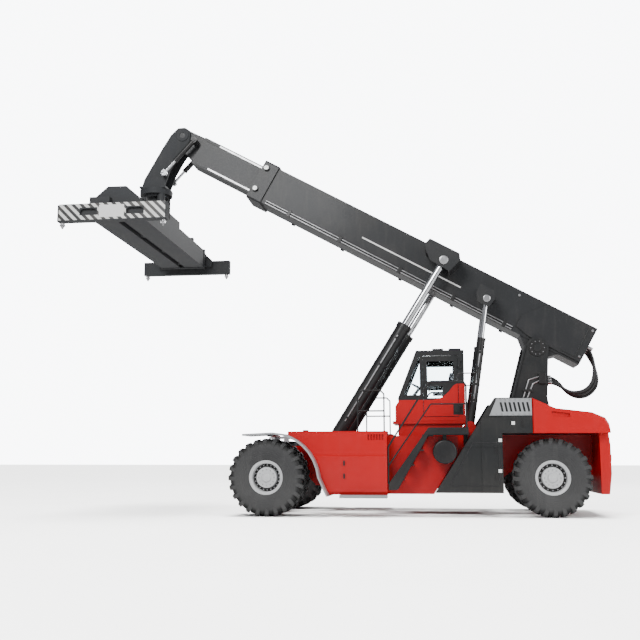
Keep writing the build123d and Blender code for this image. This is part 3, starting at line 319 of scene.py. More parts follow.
def tyre_rubber(name, axle, colour, dust, groove_shade=0.0):
    """Dusty black rubber with moulded rings on the sidewall round the axle, with painted shade between the
    lugs where groove_shade is set.
    """
    tree, shader = new_finish(name)
    inputs = {"Vector": object_place(tree), "Location": (-axle.x, 0.0, -axle.z), "Scale": (1.0, 0.0, 1.0)}
    centred = add_node(tree, "ShaderNodeMapping", inputs).outputs[0]
    reach = add_node(tree, "ShaderNodeVectorMath", {0: centred}, operation="LENGTH").outputs["Value"]
    rings = maths(tree, "SINE", maths(tree, "MULTIPLY", reach, 150.0))
    sidewall = maths(tree, "MULTIPLY", stepped(tree, reach, 0.40, 0.46), stepped(tree, reach, 0.62, 0.56))
    effect = effect_node(
        tree, road_dust, Paint=solid(colour), Dust=(0.10, 0.10, 0.098, 1.0), Amount=dust, Roughness=0.62
    )
    # Painted shade: between reach 0.66 and 0.74, in the tread between the lugs, the rubber is mixed towards
    # near black by groove_shade.
    dark = maths(tree, "MULTIPLY", stepped(tree, reach, 0.66, 0.74), groove_shade)
    dust_and_groove_shade = mixed(tree, dark, effect["Color"], (0.004, 0.004, 0.004, 1.0))
    feed(tree, shader, Base_Color=dust_and_groove_shade, Roughness=effect["Roughness"])
    height = maths(tree, "ADD", maths(tree, "MULTIPLY", rings, sidewall), effect["Height"])
    add_bump(tree, shader, height, 0.35, 0.004)


def lamp_lens(name, colour, glow, coat):
    """Ribbed lamp glass with a faint glow of its own."""
    tree, shader = new_finish(name, Roughness=0.12, Coat_Weight=coat, Emission_Strength=glow)
    ribs = wave(tree, "Z", 28.0)
    tint = mixed(tree, maths(tree, "MULTIPLY", ribs, 0.25), solid(colour), solid(colour, 0.32))
    feed(tree, shader, Base_Color=tint, Emission_Color=tint)
    add_bump(tree, shader, ribs, 0.25, 0.003)


def window_glass(name):
    tree, shader = new_finish(name, Roughness=0.0, IOR=1.1, Transmission_Weight=1.0)
    haze = stepped(tree, noise(tree, object_place(tree), 2.2, 5.0), 0.4, 0.8)
    feed(tree, shader, Base_Color=mixed(tree, haze, (0.80, 0.86, 0.88, 1.0), (0.88, 0.92, 0.93, 1.0)))


def woven_cloth(name, colour):
    tree, shader = new_finish(name, Roughness=0.9, Sheen_Weight=0.3)
    weave = maths(tree, "MULTIPLY", wave(tree, "X", 120.0), wave(tree, "Y", 120.0))
    feed(tree, shader, Base_Color=mixed(tree, weave, solid(colour), solid(colour, 2.2)))
    add_bump(tree, shader, weave, 0.4, 0.002)


def moulded_plastic(name, colour):
    tree, shader = new_finish(name, Roughness=0.5)
    place = object_place(tree)
    patch = noise(tree, place, 3.0, 3.0)
    feed(tree, shader, Base_Color=mixed(tree, patch, solid(colour), solid(colour, 1.7)))
    add_bump(tree, shader, noise(tree, place, 320.0, 2.0), 0.25, 0.001)


def hazard_bands(name, width):
    """Black and white bands that slope down towards the rear, with rubbed paint."""
    tree, shader = new_finish(name)
    place = add_node(tree, "ShaderNodeSeparateXYZ", {0: object_place(tree)}).outputs
    slope = maths(tree, "SUBTRACT", place["X"], place["Z"])
    turn = maths(tree, "FRACT", maths(tree, "DIVIDE", slope, 2.0 * width * math.sqrt(2.0)))
    band = maths(tree, "GREATER_THAN", turn, 0.5)
    colour = mixed(tree, band, (0.72, 0.72, 0.70, 1.0), (0.012, 0.012, 0.013, 1.0))
    effect = effect_node(tree, road_dust, Paint=colour, Amount=0.25, Roughness=0.4)
    feed(tree, shader, Base_Color=effect["Color"], Roughness=effect["Roughness"])


def seen_share(tree):
    """One where the stage is looked at, straight or through glass, and nought where it only gives light."""
    rays = add_node(tree, "ShaderNodeLightPath").outputs
    return maths(tree, "MAXIMUM", rays["Is Camera Ray"], rays["Is Transmission Ray"])


# Mesh helpers


def link_mesh(name, mesh):
    piece = bpy.data.objects.new(name, mesh)
    bpy.context.scene.collection.objects.link(piece)
    return piece


def keep(piece, body, finish):
    """Gives a finished piece its finish and the body that it moves with."""
    if finish is not None:
        piece.data.materials.clear()
        piece.data.materials.append(finishes[finish])
    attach(piece, body)
    return piece


def from_bmesh(name, bm, smooth=False):
    mesh = bpy.data.meshes.new(name)
    bmesh.ops.recalc_face_normals(bm, faces=bm.faces)
    bm.to_mesh(mesh)
    bm.free()
    if smooth:
        mesh.shade_smooth()
    return link_mesh(name, mesh)


def add_slab(bm, centre, size, bevel=0.0, turn=None):
    """Bevelled slab added to a mesh, centred on a point."""
    place = Matrix.Translation(centre) @ (turn or Matrix()) @ Matrix.Diagonal((*size, 1.0))
    made = bmesh.ops.create_cube(bm, size=1.0, matrix=place)
    if bevel > 0:
        edges = {edge for vert in made["verts"] for edge in vert.link_edges}
        bmesh.ops.bevel(bm, geom=list(edges), offset=bevel, segments=2, affect="EDGES", profile=0.6)


def add_turned(bm, profile, centre, axis, steps=32):
    """Ring or cap turned about an axis, from a closed (radius, height) profile, with one corner at a pole."""
    turn = Vector((0, 0, 1)).rotation_difference(Vector(axis)).to_matrix().to_4x4()
    place = Matrix.Translation(centre) @ turn
    poles = {h: bm.verts.new(place @ Vector((0, 0, h))) for r, h in profile if r == 0}
    rows = []
    for step in range(steps):
        angle = 2 * math.pi * step / steps
        row = []
        for r, h in profile:
            point = Vector((r * math.cos(angle), r * math.sin(angle), h))
            row.append(poles[h] if r == 0 else bm.verts.new(place @ point))
        rows.append(row)
    for step in range(steps):
        here, there = rows[step], rows[(step + 1) % steps]
        for count in range(len(profile)):
            after = (count + 1) % len(profile)
            corners = dict.fromkeys((here[count], there[count], there[after], here[after]))
            if len(corners) > 2:
                bm.faces.new(list(corners))


def band_profile(inner, outer, low, high):
    """Square profile of a flat ring, for add_turned."""
    return [(inner, low), (outer, low), (outer, high), (inner, high)]


def tube_and_path(name, points, radius, closed=False, order=2, around=4):
    """Round tube along a list of points as a plain mesh, and the points along its middle."""
    curve = bpy.data.curves.new(name, "CURVE")
    curve.dimensions = "3D"
    curve.bevel_depth = radius
    curve.bevel_resolution = around
    curve.use_fill_caps = True
    line = curve.splines.new("NURBS")
    line.points.add(len(points) - 1)
    for spot, point in zip(line.points, points):
        spot.co = (*point, 1.0)
    line.order_u = order
    line.use_endpoint_u = not closed
    line.use_cyclic_u = closed
    line.resolution_u = 12
    holder = bpy.data.objects.new(name + "_line", curve)
    bpy.context.scene.collection.objects.link(holder)
    graph = bpy.context.evaluated_depsgraph_get()
    mesh = bpy.data.meshes.new_from_object(holder.evaluated_get(graph))
    curve.bevel_depth = 0.0
    graph.update()
    thin = bpy.data.meshes.new_from_object(holder.evaluated_get(bpy.context.evaluated_depsgraph_get()))
    path = [vert.co.copy() for vert in thin.vertices]
    bpy.data.meshes.remove(thin)
    bpy.data.objects.remove(holder)
    bpy.data.curves.remove(curve)
    mesh.shade_smooth()
    return mesh, path


def tube_mesh(name, points, radius, closed=False):
    return tube_and_path(name, points, radius, closed)[0]


def islands(node):
    """Lists of corner points, one list for each loose solid of a node."""
    mesh = frame["nodes"][node].data
    groups = {}

    def root(key):
        while groups[key] != key:
            key = groups[key]
        return key

    keys = [tuple(round(c, 4) for c in vert.co) for vert in mesh.vertices]
    for key in keys:
        groups.setdefault(key, key)
    for polygon in mesh.polygons:
        first = root(keys[polygon.vertices[0]])
        for index in polygon.vertices[1:]:
            groups[root(keys[index])] = first
    found = {}
    for key in groups:
        found.setdefault(root(key), []).append(Vector(key))
    return list(found.values())


def pane_rim(points, inside):
    """Corners of a thin pane's outer face, in order round it, and the way that it faces."""
    middle = sum(points, Vector()) / len(points)
    best = None
    for first in points:
        for second in points:
            gap = second - first
            if 1e-4 < gap.length < 0.03 and (best is None or gap.length < best.length):
                best = gap
    way = best.normalized()
    if way.dot(middle - inside) < 0:
        way = -way
    outer = [point for point in points if (point - middle).dot(way) > 0]
    centre = sum(outer, Vector()) / len(outer)
    side = way.orthogonal().normalized()
    other = way.cross(side)
    outer.sort(key=lambda point: math.atan2((point - centre).dot(other), (point - centre).dot(side)))
    return outer, way


# Node trees that repeat small things
head_taper = 0.78
head_inputs = [
    ("Sides", "NodeSocketInt", 6),
    ("Head Radius", "NodeSocketFloat", 0.02),
    ("Head Height", "NodeSocketFloat", 0.02),
    ("Material", "NodeSocketMaterial", None),
]


def repeat_tree(name, inputs):
    tree = bpy.data.node_groups.new(name, "GeometryNodeTree")
    tree.interface.new_socket("Geometry", in_out="OUTPUT", socket_type="NodeSocketGeometry")
    sockets = {}
    for label, kind, value in inputs:
        socket = tree.interface.new_socket(label, in_out="INPUT", socket_type=kind)
        if value is not None:
            socket.default_value = value
        sockets[label] = socket.identifier
    return tree, sockets, tree.nodes.new("NodeGroupInput").outputs


def end_tree(tree, given, points, shape, turn=(0.0, 0.0, 0.0)):
    inputs = {"Points": points, "Instance": shape, "Rotation": turn}
    spread = add_node(tree, "GeometryNodeInstanceOnPoints", inputs).outputs[0]
    real = add_node(tree, "GeometryNodeRealizeInstances", {0: spread}).outputs[0]
    inputs = {"Geometry": real, "Material": given["Material"]}
    painted = add_node(tree, "GeometryNodeSetMaterial", inputs).outputs[0]
    plug(tree, painted, tree.nodes.new("NodeGroupOutput").inputs[0])


def heads_tree(name, own_inputs, layout, links, **settings):
    """Tree that stands a tapered bolt or nut head on each point of a ring, a row or a field."""
    tree, sockets, given = repeat_tree(name, own_inputs + head_inputs)
    points = add_node(tree, layout, {slot: given[label] for slot, label in links.items()}, **settings)
    head = {
        "Vertices": given["Sides"],
        "Radius Bottom": given["Head Radius"],
        "Radius Top": maths(tree, "MULTIPLY", given["Head Radius"], head_taper),
        "Depth": given["Head Height"],
    }
    cone = add_node(tree, "GeometryNodeMeshCone", head).outputs["Mesh"]
    end_tree(tree, given, points.outputs[0], cone)
    return tree, sockets


def lug_ring_tree():
    """Ring of one given shape turned about the Y axis, starting a part of a step round."""
    tree, sockets, given = repeat_tree(
        "lug_ring",
        [
            ("Lug", "NodeSocketObject", None),
            ("Count", "NodeSocketInt", 12),
            ("Start", "NodeSocketFloat", 0.0),
            ("Material", "NodeSocketMaterial", None),
        ],
    )
    shape = add_node(tree, "GeometryNodeObjectInfo", {"Object": given["Lug"]}).outputs["Geometry"]
    inputs = {"Count": given["Count"], "Offset": (0.0, 0.0, 0.0)}
    points = add_node(tree, "GeometryNodeMeshLine", inputs).outputs[0]
    step = maths(tree, "ADD", add_node(tree, "GeometryNodeInputIndex").outputs[0], given["Start"])
    turn = maths(tree, "DIVIDE", maths(tree, "MULTIPLY", step, 2 * math.pi), given["Count"])
    end_tree(tree, given, points, shape, add_node(tree, "ShaderNodeCombineXYZ", {"Y": turn}).outputs[0])
    return tree, sockets


nut_ring = heads_tree(
    "nut_ring",
    [("Count", "NodeSocketInt", 12), ("Ring Radius", "NodeSocketFloat", 0.2)],
    "GeometryNodeMeshCircle",
    {"Vertices": "Count", "Radius": "Ring Radius"},
)
bolt_row = heads_tree(
    "bolt_row",
    [("Count", "NodeSocketInt", 6), ("Span", "NodeSocketVector", (1.0, 0.0, 0.0))],
    "GeometryNodeMeshLine",
    {"Count": "Count", "Offset": "Span"},
    mode="END_POINTS",
)
stud_field = heads_tree(
    "stud_field",
    [
        ("Length", "NodeSocketFloat", 1.0),
        ("Width", "NodeSocketFloat", 0.5),
        ("Along", "NodeSocketInt", 10),
        ("Across", "NodeSocketInt", 6),
    ],
    "GeometryNodeMeshGrid",
    {"Size X": "Length", "Size Y": "Width", "Vertices X": "Along", "Vertices Y": "Across"},
)
lug_ring = lug_ring_tree()


def repeated(kind, finish, place, **values):
    """Plain mesh of a node tree's result, moved to its place."""
    tree, sockets = kind
    holder = link_mesh("repeat_holder", bpy.data.meshes.new("repeat_holder"))
    modifier = holder.modifiers.new("repeat", "NODES")
    modifier.node_group = tree
    values["Material"] = finishes[finish]
    for label, value in values.items():
        modifier[sockets[label.replace("_", " ")]] = value
    graph = bpy.context.evaluated_depsgraph_get()
    mesh = bpy.data.meshes.new_from_object(holder.evaluated_get(graph))
    holder.modifiers.remove(modifier)
    bpy.data.objects.remove(holder)
    mesh.transform(place)
    return mesh


def bolts_at(kind, place, radius, height, finish="bright_steel", **values):
    """Heads of one size, laid out by one of the trees."""
    return repeated(kind, finish, place, Head_Radius=radius, Head_Height=height, **values)


def joined(name, meshes):
    """One piece from several meshes, with their finishes."""
    bm = bmesh.new()
    made = bpy.data.meshes.new(name)
    for mesh in meshes:
        slots = []
        for material in mesh.materials:
            if material is not None and material.name not in made.materials:
                made.materials.append(material)
            slots.append(made.materials.find(material.name) if material is not None else 0)
        for polygon in mesh.polygons:
            if slots:
                polygon.material_index = slots[polygon.material_index]
        bm.from_mesh(mesh)
        bpy.data.meshes.remove(mesh)
    bm.to_mesh(made)
    bm.free()
    return link_mesh(name, made)


def facing(point, way):
    """Place of a small thing that stands on a surface, with its Z along the way that the surface faces."""
    return Matrix.Translation(point) @ Vector((0, 0, 1)).rotation_difference(Vector(way)).to_matrix().to_4x4()


# Operators, one for each group of pieces


node_finishes = {
    "signal_red": (
        "rear_hood",
        "counterweight",
        "side_tanks",
        "cab_base",
        "chassis_frame",
        "rear_deck",
        "cab_skirts",
        "door_skirt",
    ),
    "boom_grey": ("outer_boom", "inner_boom"),
    "charcoal": (
        "boom_tower",
        "engine_covers",
        "cab_sides",
        "cab_floor",
        "cab_roof",
        "cab_end_walls",
        "cab_door",
    ),
    "silver": ("front_mudguards", "louvre_panels", "side_bars"),
    "attachment_grey": ("yoke", "rotator", "spreader_frame", "arm_left", "arm_right"),
    "cast_iron": ("front_axle", "steer_axle", "engine_block", "knuckle_left", "knuckle_right"),
    "rim_grey": ("front_rims_left", "front_rims_right", "rear_rim_left", "rear_rim_right"),
    "black_steel": (
        "lift_barrels",
        "hold_barrels",
        "damper_barrels",
        "stairs",
        "air_cleaners",
        "handrails",
        "mirrors",
    ),
    "chrome": ("lift_rods", "hold_rods", "damper_rods"),
    "bright_steel": ("twistlocks_left", "twistlocks_right"),
    "front_tyre": ("front_tyres_left", "front_tyres_right"),
    "rear_tyre": ("rear_tyre_left", "rear_tyre_right"),
    "glass": ("cab_glass", "cab_door_glass"),
    "lamp_glass": ("chassis_lamps", "boom_lamps"),
    "plastic": ("cab_console",),
    "seat_cloth": ("operator_seat",),
    "rubber": ("tail_hose_1", "tail_hose_2", "tail_hose_3"),
}


class STACKER_OT_finishes(bpy.types.Operator):
    """Make every finish and paint the machine's own parts"""

    bl_idname = "stacker.finishes"
    bl_label = "Finishes"

    def execute(self, context):
        colours = context.scene.stacker_paint
        dust = colours.dust_amount
        paint("signal_red", colours.signal_red, 0.5 * dust, roughness=0.36, coat=0.15)
        paint("boom_grey", colours.boom_grey, dust, roughness=0.5)
        paint("charcoal", colours.charcoal, dust, roughness=0.45)
        paint("silver", colours.silver, dust, roughness=0.36, coat=0.2)
        paint("attachment_grey", colours.attachment_grey, dust, roughness=0.65, coat=0.0)
        paint("rim_grey", (0.62, 0.63, 0.64), 2.0 * dust)
        paint("black_steel", (0.012, 0.012, 0.013), dust, roughness=0.42, coat=0.15)
        paint("stripe_white", (0.80, 0.80, 0.79), dust)
        worn_metal("cast_iron", (0.045, 0.046, 0.048), (0.16, 0.13, 0.11), 0.5, 0.6, 0.3)
        worn_metal("bright_steel", (0.42, 0.42, 0.43), (0.62, 0.62, 0.62), 0.6, 0.32, 0.9)
        worn_metal("chrome", (0.72, 0.73, 0.75), (0.85, 0.85, 0.86), 0.15, 0.08, 1.0, 2.0)
        worn_metal("rubber", (0.016, 0.016, 0.017), (0.06, 0.06, 0.06), 0.4, 0.58, 0.0, 4.0)
        front_axle = Vector(joints["front_wheels_left_spin"]["pos_m"])
        rear_axle = Vector(joints["rear_wheel_left_spin"]["pos_m"])
        for name, axle in (("front_tyre", front_axle), ("rear_tyre", rear_axle)):
            tyre_rubber(name, axle, (0.030, 0.030, 0.031), 0.35)
            # The carcass finish is a painted-shade copy of the tyre rubber: a little darker than the lugs'
            # rubber, with painted shade in the tread between the lugs.
            tyre_rubber(name + "_carcass", axle, (0.026, 0.026, 0.027), 0.35, groove_shade=0.85)
        lamp_lens("lamp_glass", (0.85, 0.86, 0.84), glow=0.5, coat=0.6)
        lamp_lens("tail_red", (0.30, 0.0, 0.0), glow=0.1, coat=0.1)
        window_glass("glass")
        woven_cloth("seat_cloth", (0.022, 0.022, 0.026))
        moulded_plastic("plastic", (0.022, 0.022, 0.024))
        hazard_bands("hazard", context.scene.stacker_trim.stripe_width)
        for finish, nodes in node_finishes.items():
            for node in nodes:
                data = frame["nodes"][node].data
                data.materials.clear()
                data.materials.append(finishes[finish])
        return {"FINISHED"}


# Hose sizes: the gap between hoses, how far each lies inside the one before, and the sleeve at each end
hose_gap = 0.09
hose_inset = 0.07
sleeve_profile = [(0.037, 0.0), (0.046, 0.0), (0.046, 0.10), (0.040, 0.13), (0.037, 0.13)]
sleeve_lap = 0.002


class STACKER_OT_tail_hoses(bpy.types.Operator):
    """Hang the three oil hoses from the tower to the tail of the boom"""

    bl_idname = "stacker.tail_hoses"
    bl_label = "Tail hoses"

    def execute(self, context):
        diameter = context.scene.stacker_trim.hose_diameter
        plate_z = boom_pivot.z - 0.70
        fittings = bmesh.new()
        tail_fittings = bmesh.new()
        for count in range(3):
            y = (count - 1) * hose_gap
            inset = count * hose_inset
            start = Vector((boom_pivot.x - 0.215, y, plate_z + 0.09 - inset))
            end = on_boom(-0.992, 0.52 + 0.6 * inset, y)
            route = [
                start,
                Vector((boom_pivot.x - 0.42, y, start.z)),
                Vector((boom_pivot.x - 0.73, y, plate_z - 0.345 + 0.3 * inset)),
                Vector((boom_pivot.x - 1.11, y, plate_z - 0.40 + 1.15 * inset)),
                Vector((boom_pivot.x - 1.415 + 0.85 * inset, y, plate_z - 0.095 + inset)),
                on_boom(-1.24 + 0.5 * inset, 0.52 + 0.6 * inset, y) + Vector((0.035, 0.0, -0.12)),
                end,
            ]
            name = f"tail_hose_{count + 1}"
            mesh, path = tube_and_path(name + "_rubber", route, diameter / 2, order=3, around=6)
            hose = link_mesh(name + "_rubber", mesh)
            hose.data.materials.append(finishes["rubber"])
            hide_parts(name)
            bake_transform(hose)
            add_turned(fittings, sleeve_profile, start + Vector((sleeve_lap, 0, 0)), (-1, 0, 0), 24)
            add_turned(tail_fittings, sleeve_profile, end + boom_way * sleeve_lap, -boom_way, 24)
        keep(from_bmesh("tower_hose_fittings", fittings), "chassis", "bright_steel")
        keep(from_bmesh("tail_hose_fittings", tail_fittings), "boom", "bright_steel")
        return {"FINISHED"}


# Tyre sizes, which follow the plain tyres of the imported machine
lug_count = 24
lug_length = 0.085
lug_skew = math.radians(14.0)
lug_bevel = 0.007
crease_angle = math.radians(35.0)
tyre_half = 0.25
tread_radius = 0.82
tyre_half_profile = [
    (0.331, -0.195),
    (0.366, -0.195),
    (0.368, -0.225),
    (0.45, -0.244),
    (0.57, -0.249),
    (0.66, -0.244),
    (0.73, -0.222),
    (0.772, -0.185),
    (0.781, -0.10),
]
tyre_profile = tyre_half_profile + [(0.783, 0.0)] + [(r, -y) for r, y in reversed(tyre_half_profile)]
lug_profile = [
    (0.014, 0.745),
    (0.02, tread_radius),
    (tyre_half - 0.052, tread_radius),
    (tyre_half, tread_radius - 0.062),
    (tyre_half, tread_radius - 0.19),
    (tyre_half - 0.06, tread_radius - 0.19),
]


class STACKER_OT_tyres(bpy.types.Operator):
    """Mould round tyres with bevelled lugs over the plain ones"""

    bl_idname = "stacker.tyres"
    bl_label = "Tyres"

    def execute(self, context):
        lugs = {side: self.lug_shape(side) for side in (1, -1)}
        for node, joint, finish in (
            ("front_tyres", "front_wheels", "front_tyre"),
            ("rear_tyre", "rear_wheel", "rear_tyre"),
        ):
            for word in ("left", "right"):
                axle = Vector(joints[f"{joint}_{word}_spin"]["pos_m"])
                meshes = []
                for tyre in islands(f"{node}_{word}"):
                    ends = [point.y for point in tyre]
                    centre = Vector((axle.x, (min(ends) + max(ends)) / 2, axle.z))
                    place = Matrix.Translation(centre)
                    meshes.append(self.carcass(centre, finish))
                    for side, start in ((1, 0.0), (-1, 0.5)):
                        values = {"Lug": lugs[side], "Count": lug_count, "Start": start}
                        meshes.append(repeated(lug_ring, finish, place, **values))
                rubber = joined(f"{node}_{word}_rubber", meshes)
                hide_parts(f"{node}_{word}")
                keep(rubber, f"{joint}_{word}", None)
        for piece in lugs.values():
            bpy.data.objects.remove(piece)
        return {"FINISHED"}

    def carcass(self, centre, finish):
        bm = bmesh.new()
        add_turned(bm, tyre_profile, centre, (0, 1, 0), 84)
        bmesh.ops.recalc_face_normals(bm, faces=bm.faces)
        mesh = bpy.data.meshes.new("carcass")
        # The carcass takes the darker copy of the rubber, with painted shade between the lugs.
        mesh.materials.append(finishes[finish + "_carcass"])
        bm.to_mesh(mesh)
        bm.free()
        mesh.set_sharp_from_angle(angle=crease_angle)
        return mesh

    def lug_shape(self, side):
        """One bevelled lug at the foot of a wheel, skewed over one shoulder."""
        bm = bmesh.new()
        ends = []
        for x in (-lug_length / 2, lug_length / 2):
            ends.append([bm.verts.new((x, side * y, -r)) for y, r in lug_profile])
        bm.faces.new(ends[0])
        bm.faces.new(ends[1])
        for count in range(len(lug_profile)):
            after = (count + 1) % len(lug_profile)
            bm.faces.new((ends[0][count], ends[0][after], ends[1][after], ends[1][count]))
        middle = Matrix.Translation((0, side * tyre_half / 2, 0))
        bm.transform(middle @ Matrix.Rotation(side * lug_skew, 4, "Z") @ middle.inverted())
        for vert in bm.verts:
            vert.co.y = max(-tyre_half, min(tyre_half, vert.co.y))
        bmesh.ops.recalc_face_normals(bm, faces=bm.faces)
        bmesh.ops.bevel(bm, geom=bm.edges[:], offset=lug_bevel, segments=1, affect="EDGES")
        return from_bmesh("lug", bm)


# Wheel sizes: nuts and their dark band on the disc, bolts and a dome on the hub
nut_circle = 0.262
nut_height = 0.034
nut_band = band_profile(0.212, 0.312, -0.001, 0.002)
hub_bolt_count = 12
hub_bolt_circle = 0.165
hub_bolt_size = (0.013, 0.014)
hub_dome = [(0.0, 0.0), (0.10, 0.0), (0.10, 0.018), (0.085, 0.03), (0.03, 0.036), (0.0, 0.036)]


class STACKER_OT_wheels(bpy.types.Operator):
    """Put nuts, nut bands, hub bolts and hub domes on the wheels"""

    bl_idname = "stacker.wheels"
    bl_label = "Wheels"

    def execute(self, context):
        trim = context.scene.stacker_trim
        wheels = (
            ("front_rims", "front_wheels", 0.195, 0.075, trim.front_nuts),
            ("rear_rim", "rear_wheel", 0.135, 0.045, trim.rear_nuts),
        )
        for node, wheel, disc_inset, hub_inset, count in wheels:
            for side, word in sides:
                body = f"{wheel}_{word}"
                axle = Vector(joints[f"{body}_spin"]["pos_m"])
                low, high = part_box(f"{node}_{word}")
                flange = high.y if side > 0 else low.y
                disc = Vector((axle.x, flange - side * disc_inset, axle.z))
                hub = Vector((axle.x, flange - side * hub_inset, axle.z))
                way = (0, side, 0)
                ring = {"Count": count, "Ring_Radius": nut_circle}
                nuts = bolts_at(nut_ring, facing(disc, way), trim.nut_radius, nut_height, **ring)
                ring = {"Count": hub_bolt_count, "Ring_Radius": hub_bolt_circle}
                bolts = bolts_at(nut_ring, facing(hub, way), *hub_bolt_size, **ring)
                keep(joined(f"{body}_nuts", [nuts, bolts]), body, None)
                band = bmesh.new()
                add_turned(band, nut_band, disc, way, 64)
                keep(from_bmesh(f"{body}_nut_band", band), body, "black_steel")
                dome = bmesh.new()
                add_turned(dome, hub_dome, hub, way, 32)
                keep(from_bmesh(f"{body}_hub_dome", dome), body, "rim_grey")
        return {"FINISHED"}


# Places on the boom, measured along it and across it from its pivot
boom_side_y = 0.4
boom_clamps = (0.9, 2.2, 3.6, 5.2, 6.6)
boom_pipe_bends = (0.70, 2.5, 5.0, 7.25)
boom_pipe_heights = (0.125, 0.185)
boom_stripe = (2.16, 4.76, 0.455)
wear_side_y = 0.314
wear_ends = (7.7, 9.0)
wear_heights = (0.25, 0.88)


class STACKER_OT_boom_trim(bpy.types.Operator):
    """Add the boom's stripe, oil pipes, clamps, wear strips and lamp bezels"""

    bl_idname = "stacker.boom_trim"
    bl_label = "Boom trim"

    def execute(self, context):
        pipe_radius = context.scene.stacker_trim.pipe_diameter / 2
        stripe_start, stripe_end, stripe_height = boom_stripe
        wear_start, wear_end = wear_ends
        for side, word in sides:
            bm = bmesh.new()
            middle = on_boom((stripe_start + stripe_end) / 2, stripe_height, side * (boom_side_y + 0.0015))
            add_slab(bm, middle, (stripe_end - stripe_start, 0.003, 0.035), 0.001, along_boom)
            keep(from_bmesh(f"boom_stripe_{word}", bm), "boom", "stripe_white")
            clamps = bmesh.new()
            for along in boom_clamps:
                spot = on_boom(along, sum(boom_pipe_heights) / 2, side * (boom_side_y + 0.03))
                add_slab(clamps, spot, (0.09, 0.06, 0.16), 0.008, along_boom)
            keep(from_bmesh(f"pipe_clamps_{word}", clamps), "boom", "black_steel")
            pipes = []
            for height in boom_pipe_heights:
                route = [on_boom(along, height, side * (boom_side_y + 0.032)) for along in boom_pipe_bends]
                pipes.append(tube_mesh("boom_pipe", route, pipe_radius))
            keep(joined(f"boom_pipes_{word}", pipes), "boom", "bright_steel")
            wear = bmesh.new()
            for height in wear_heights:
                spot = on_boom((wear_start + wear_end) / 2, height, side * (wear_side_y + 0.001))
                add_slab(wear, spot, (wear_end - wear_start, 0.002, 0.04), 0.0005, along_boom)
            keep(from_bmesh(f"wear_strips_{word}", wear), "boom_extension", "bright_steel")
        self.add_bezels()
        return {"FINISHED"}

    def add_bezels(self):
        """Rings round the glasses of the boom's lamps."""
        bm = bmesh.new()
        for lamp in islands("boom_lamps"):
            middle = sum(lamp, Vector()) / len(lamp)
            side = 1 if middle.y > 0 else -1
            face = max(point.y * side for point in lamp) * side
            radius = max(math.hypot(point.x - middle.x, point.z - middle.z) for point in lamp)
            bezel = band_profile(radius - 0.008, radius + 0.010, 0.0, 0.05)
            add_turned(bm, bezel, Vector((middle.x, face + side * 0.004, middle.z)), (0, -side, 0), 28)
        keep(from_bmesh("boom_lamp_bezels", bm), "boom", "black_steel")


# Sizes round the pivot. Places are along and across the boom and the face's y, and a cap has its radius too
tower_side_y = 0.520
tail_side_y = 0.438
collar_depth = 0.018
collar = band_profile(0.091, 0.19, -0.002, collar_depth)
collar_bolt_size = (0.016, 0.014)
stud = [(0.0, -0.002), (0.03, -0.002), (0.03, 0.014), (0.022, 0.02), (0.0, 0.02)]
stud_places = ((-0.90, 0.93, tail_side_y), (-0.90, 0.27, tail_side_y), (0.90, 0.91, boom_side_y))
pin_caps = ((2.748, 0.729, 1.02, 0.10), (1.498, 0.393, 1.01, 0.08))
tail_rib_shapes = (((-0.82, 0.60), (0.03, 0.012, 0.76)), ((-0.64, 0.22), (0.36, 0.012, 0.03)))


class STACKER_OT_pivot_trim(bpy.types.Operator):
    """Bolt collars and caps on the boom's pins and weld ribs and studs to its tail"""

    bl_idname = "stacker.pivot_trim"
    bl_label = "Pivot trim"

    def execute(self, context):
        collars = bmesh.new()
        bolts = []
        ribs = bmesh.new()
        studs = bmesh.new()
        caps = bmesh.new()
        for side in (1, -1):
            way = Vector((0, side, 0))
            face = Vector((boom_pivot.x, side * tower_side_y, boom_pivot.z))
            add_turned(collars, collar, face, way, 48)
            place = facing(face + way * collar_depth, way)
            bolts.append(bolts_at(nut_ring, place, *collar_bolt_size, Count=10, Ring_Radius=0.15))
            for (along, across), size in tail_rib_shapes:
                add_slab(ribs, on_boom(along, across, side * (tail_side_y + 0.004)), size, 0.004, along_boom)
            for along, across, y in stud_places:
                add_turned(studs, stud, on_boom(along, across, side * y), way, 24)
            for along, across, y, radius in pin_caps:
                rim, top = 0.8 * radius, 0.022
                cap = [(0.0, -0.002), (radius, -0.002), (radius, 0.016), (rim, top), (0.0, top)]
                add_turned(caps, cap, on_boom(along, across, side * y), way, 36)
        keep(from_bmesh("eye_pin_caps", caps), "boom", "bright_steel")
        keep(from_bmesh("pivot_collars", collars), "chassis", "black_steel")
        keep(joined("pivot_bolts", bolts), "chassis", None)
        keep(from_bmesh("tail_ribs", ribs), "boom", "charcoal")
        keep(from_bmesh("tail_studs", studs), "boom", "bright_steel")
        return {"FINISHED"}


# Pipe clamps on the cylinders, as shares of the pipe's length, and the gap between pipe and barrel
clamp_shares = (0.04, 0.35, 0.66, 0.97)
clamp_size = (0.055, 0.05, 0.05)
pipe_gap = 0.006
pipe_end_inset = 0.30


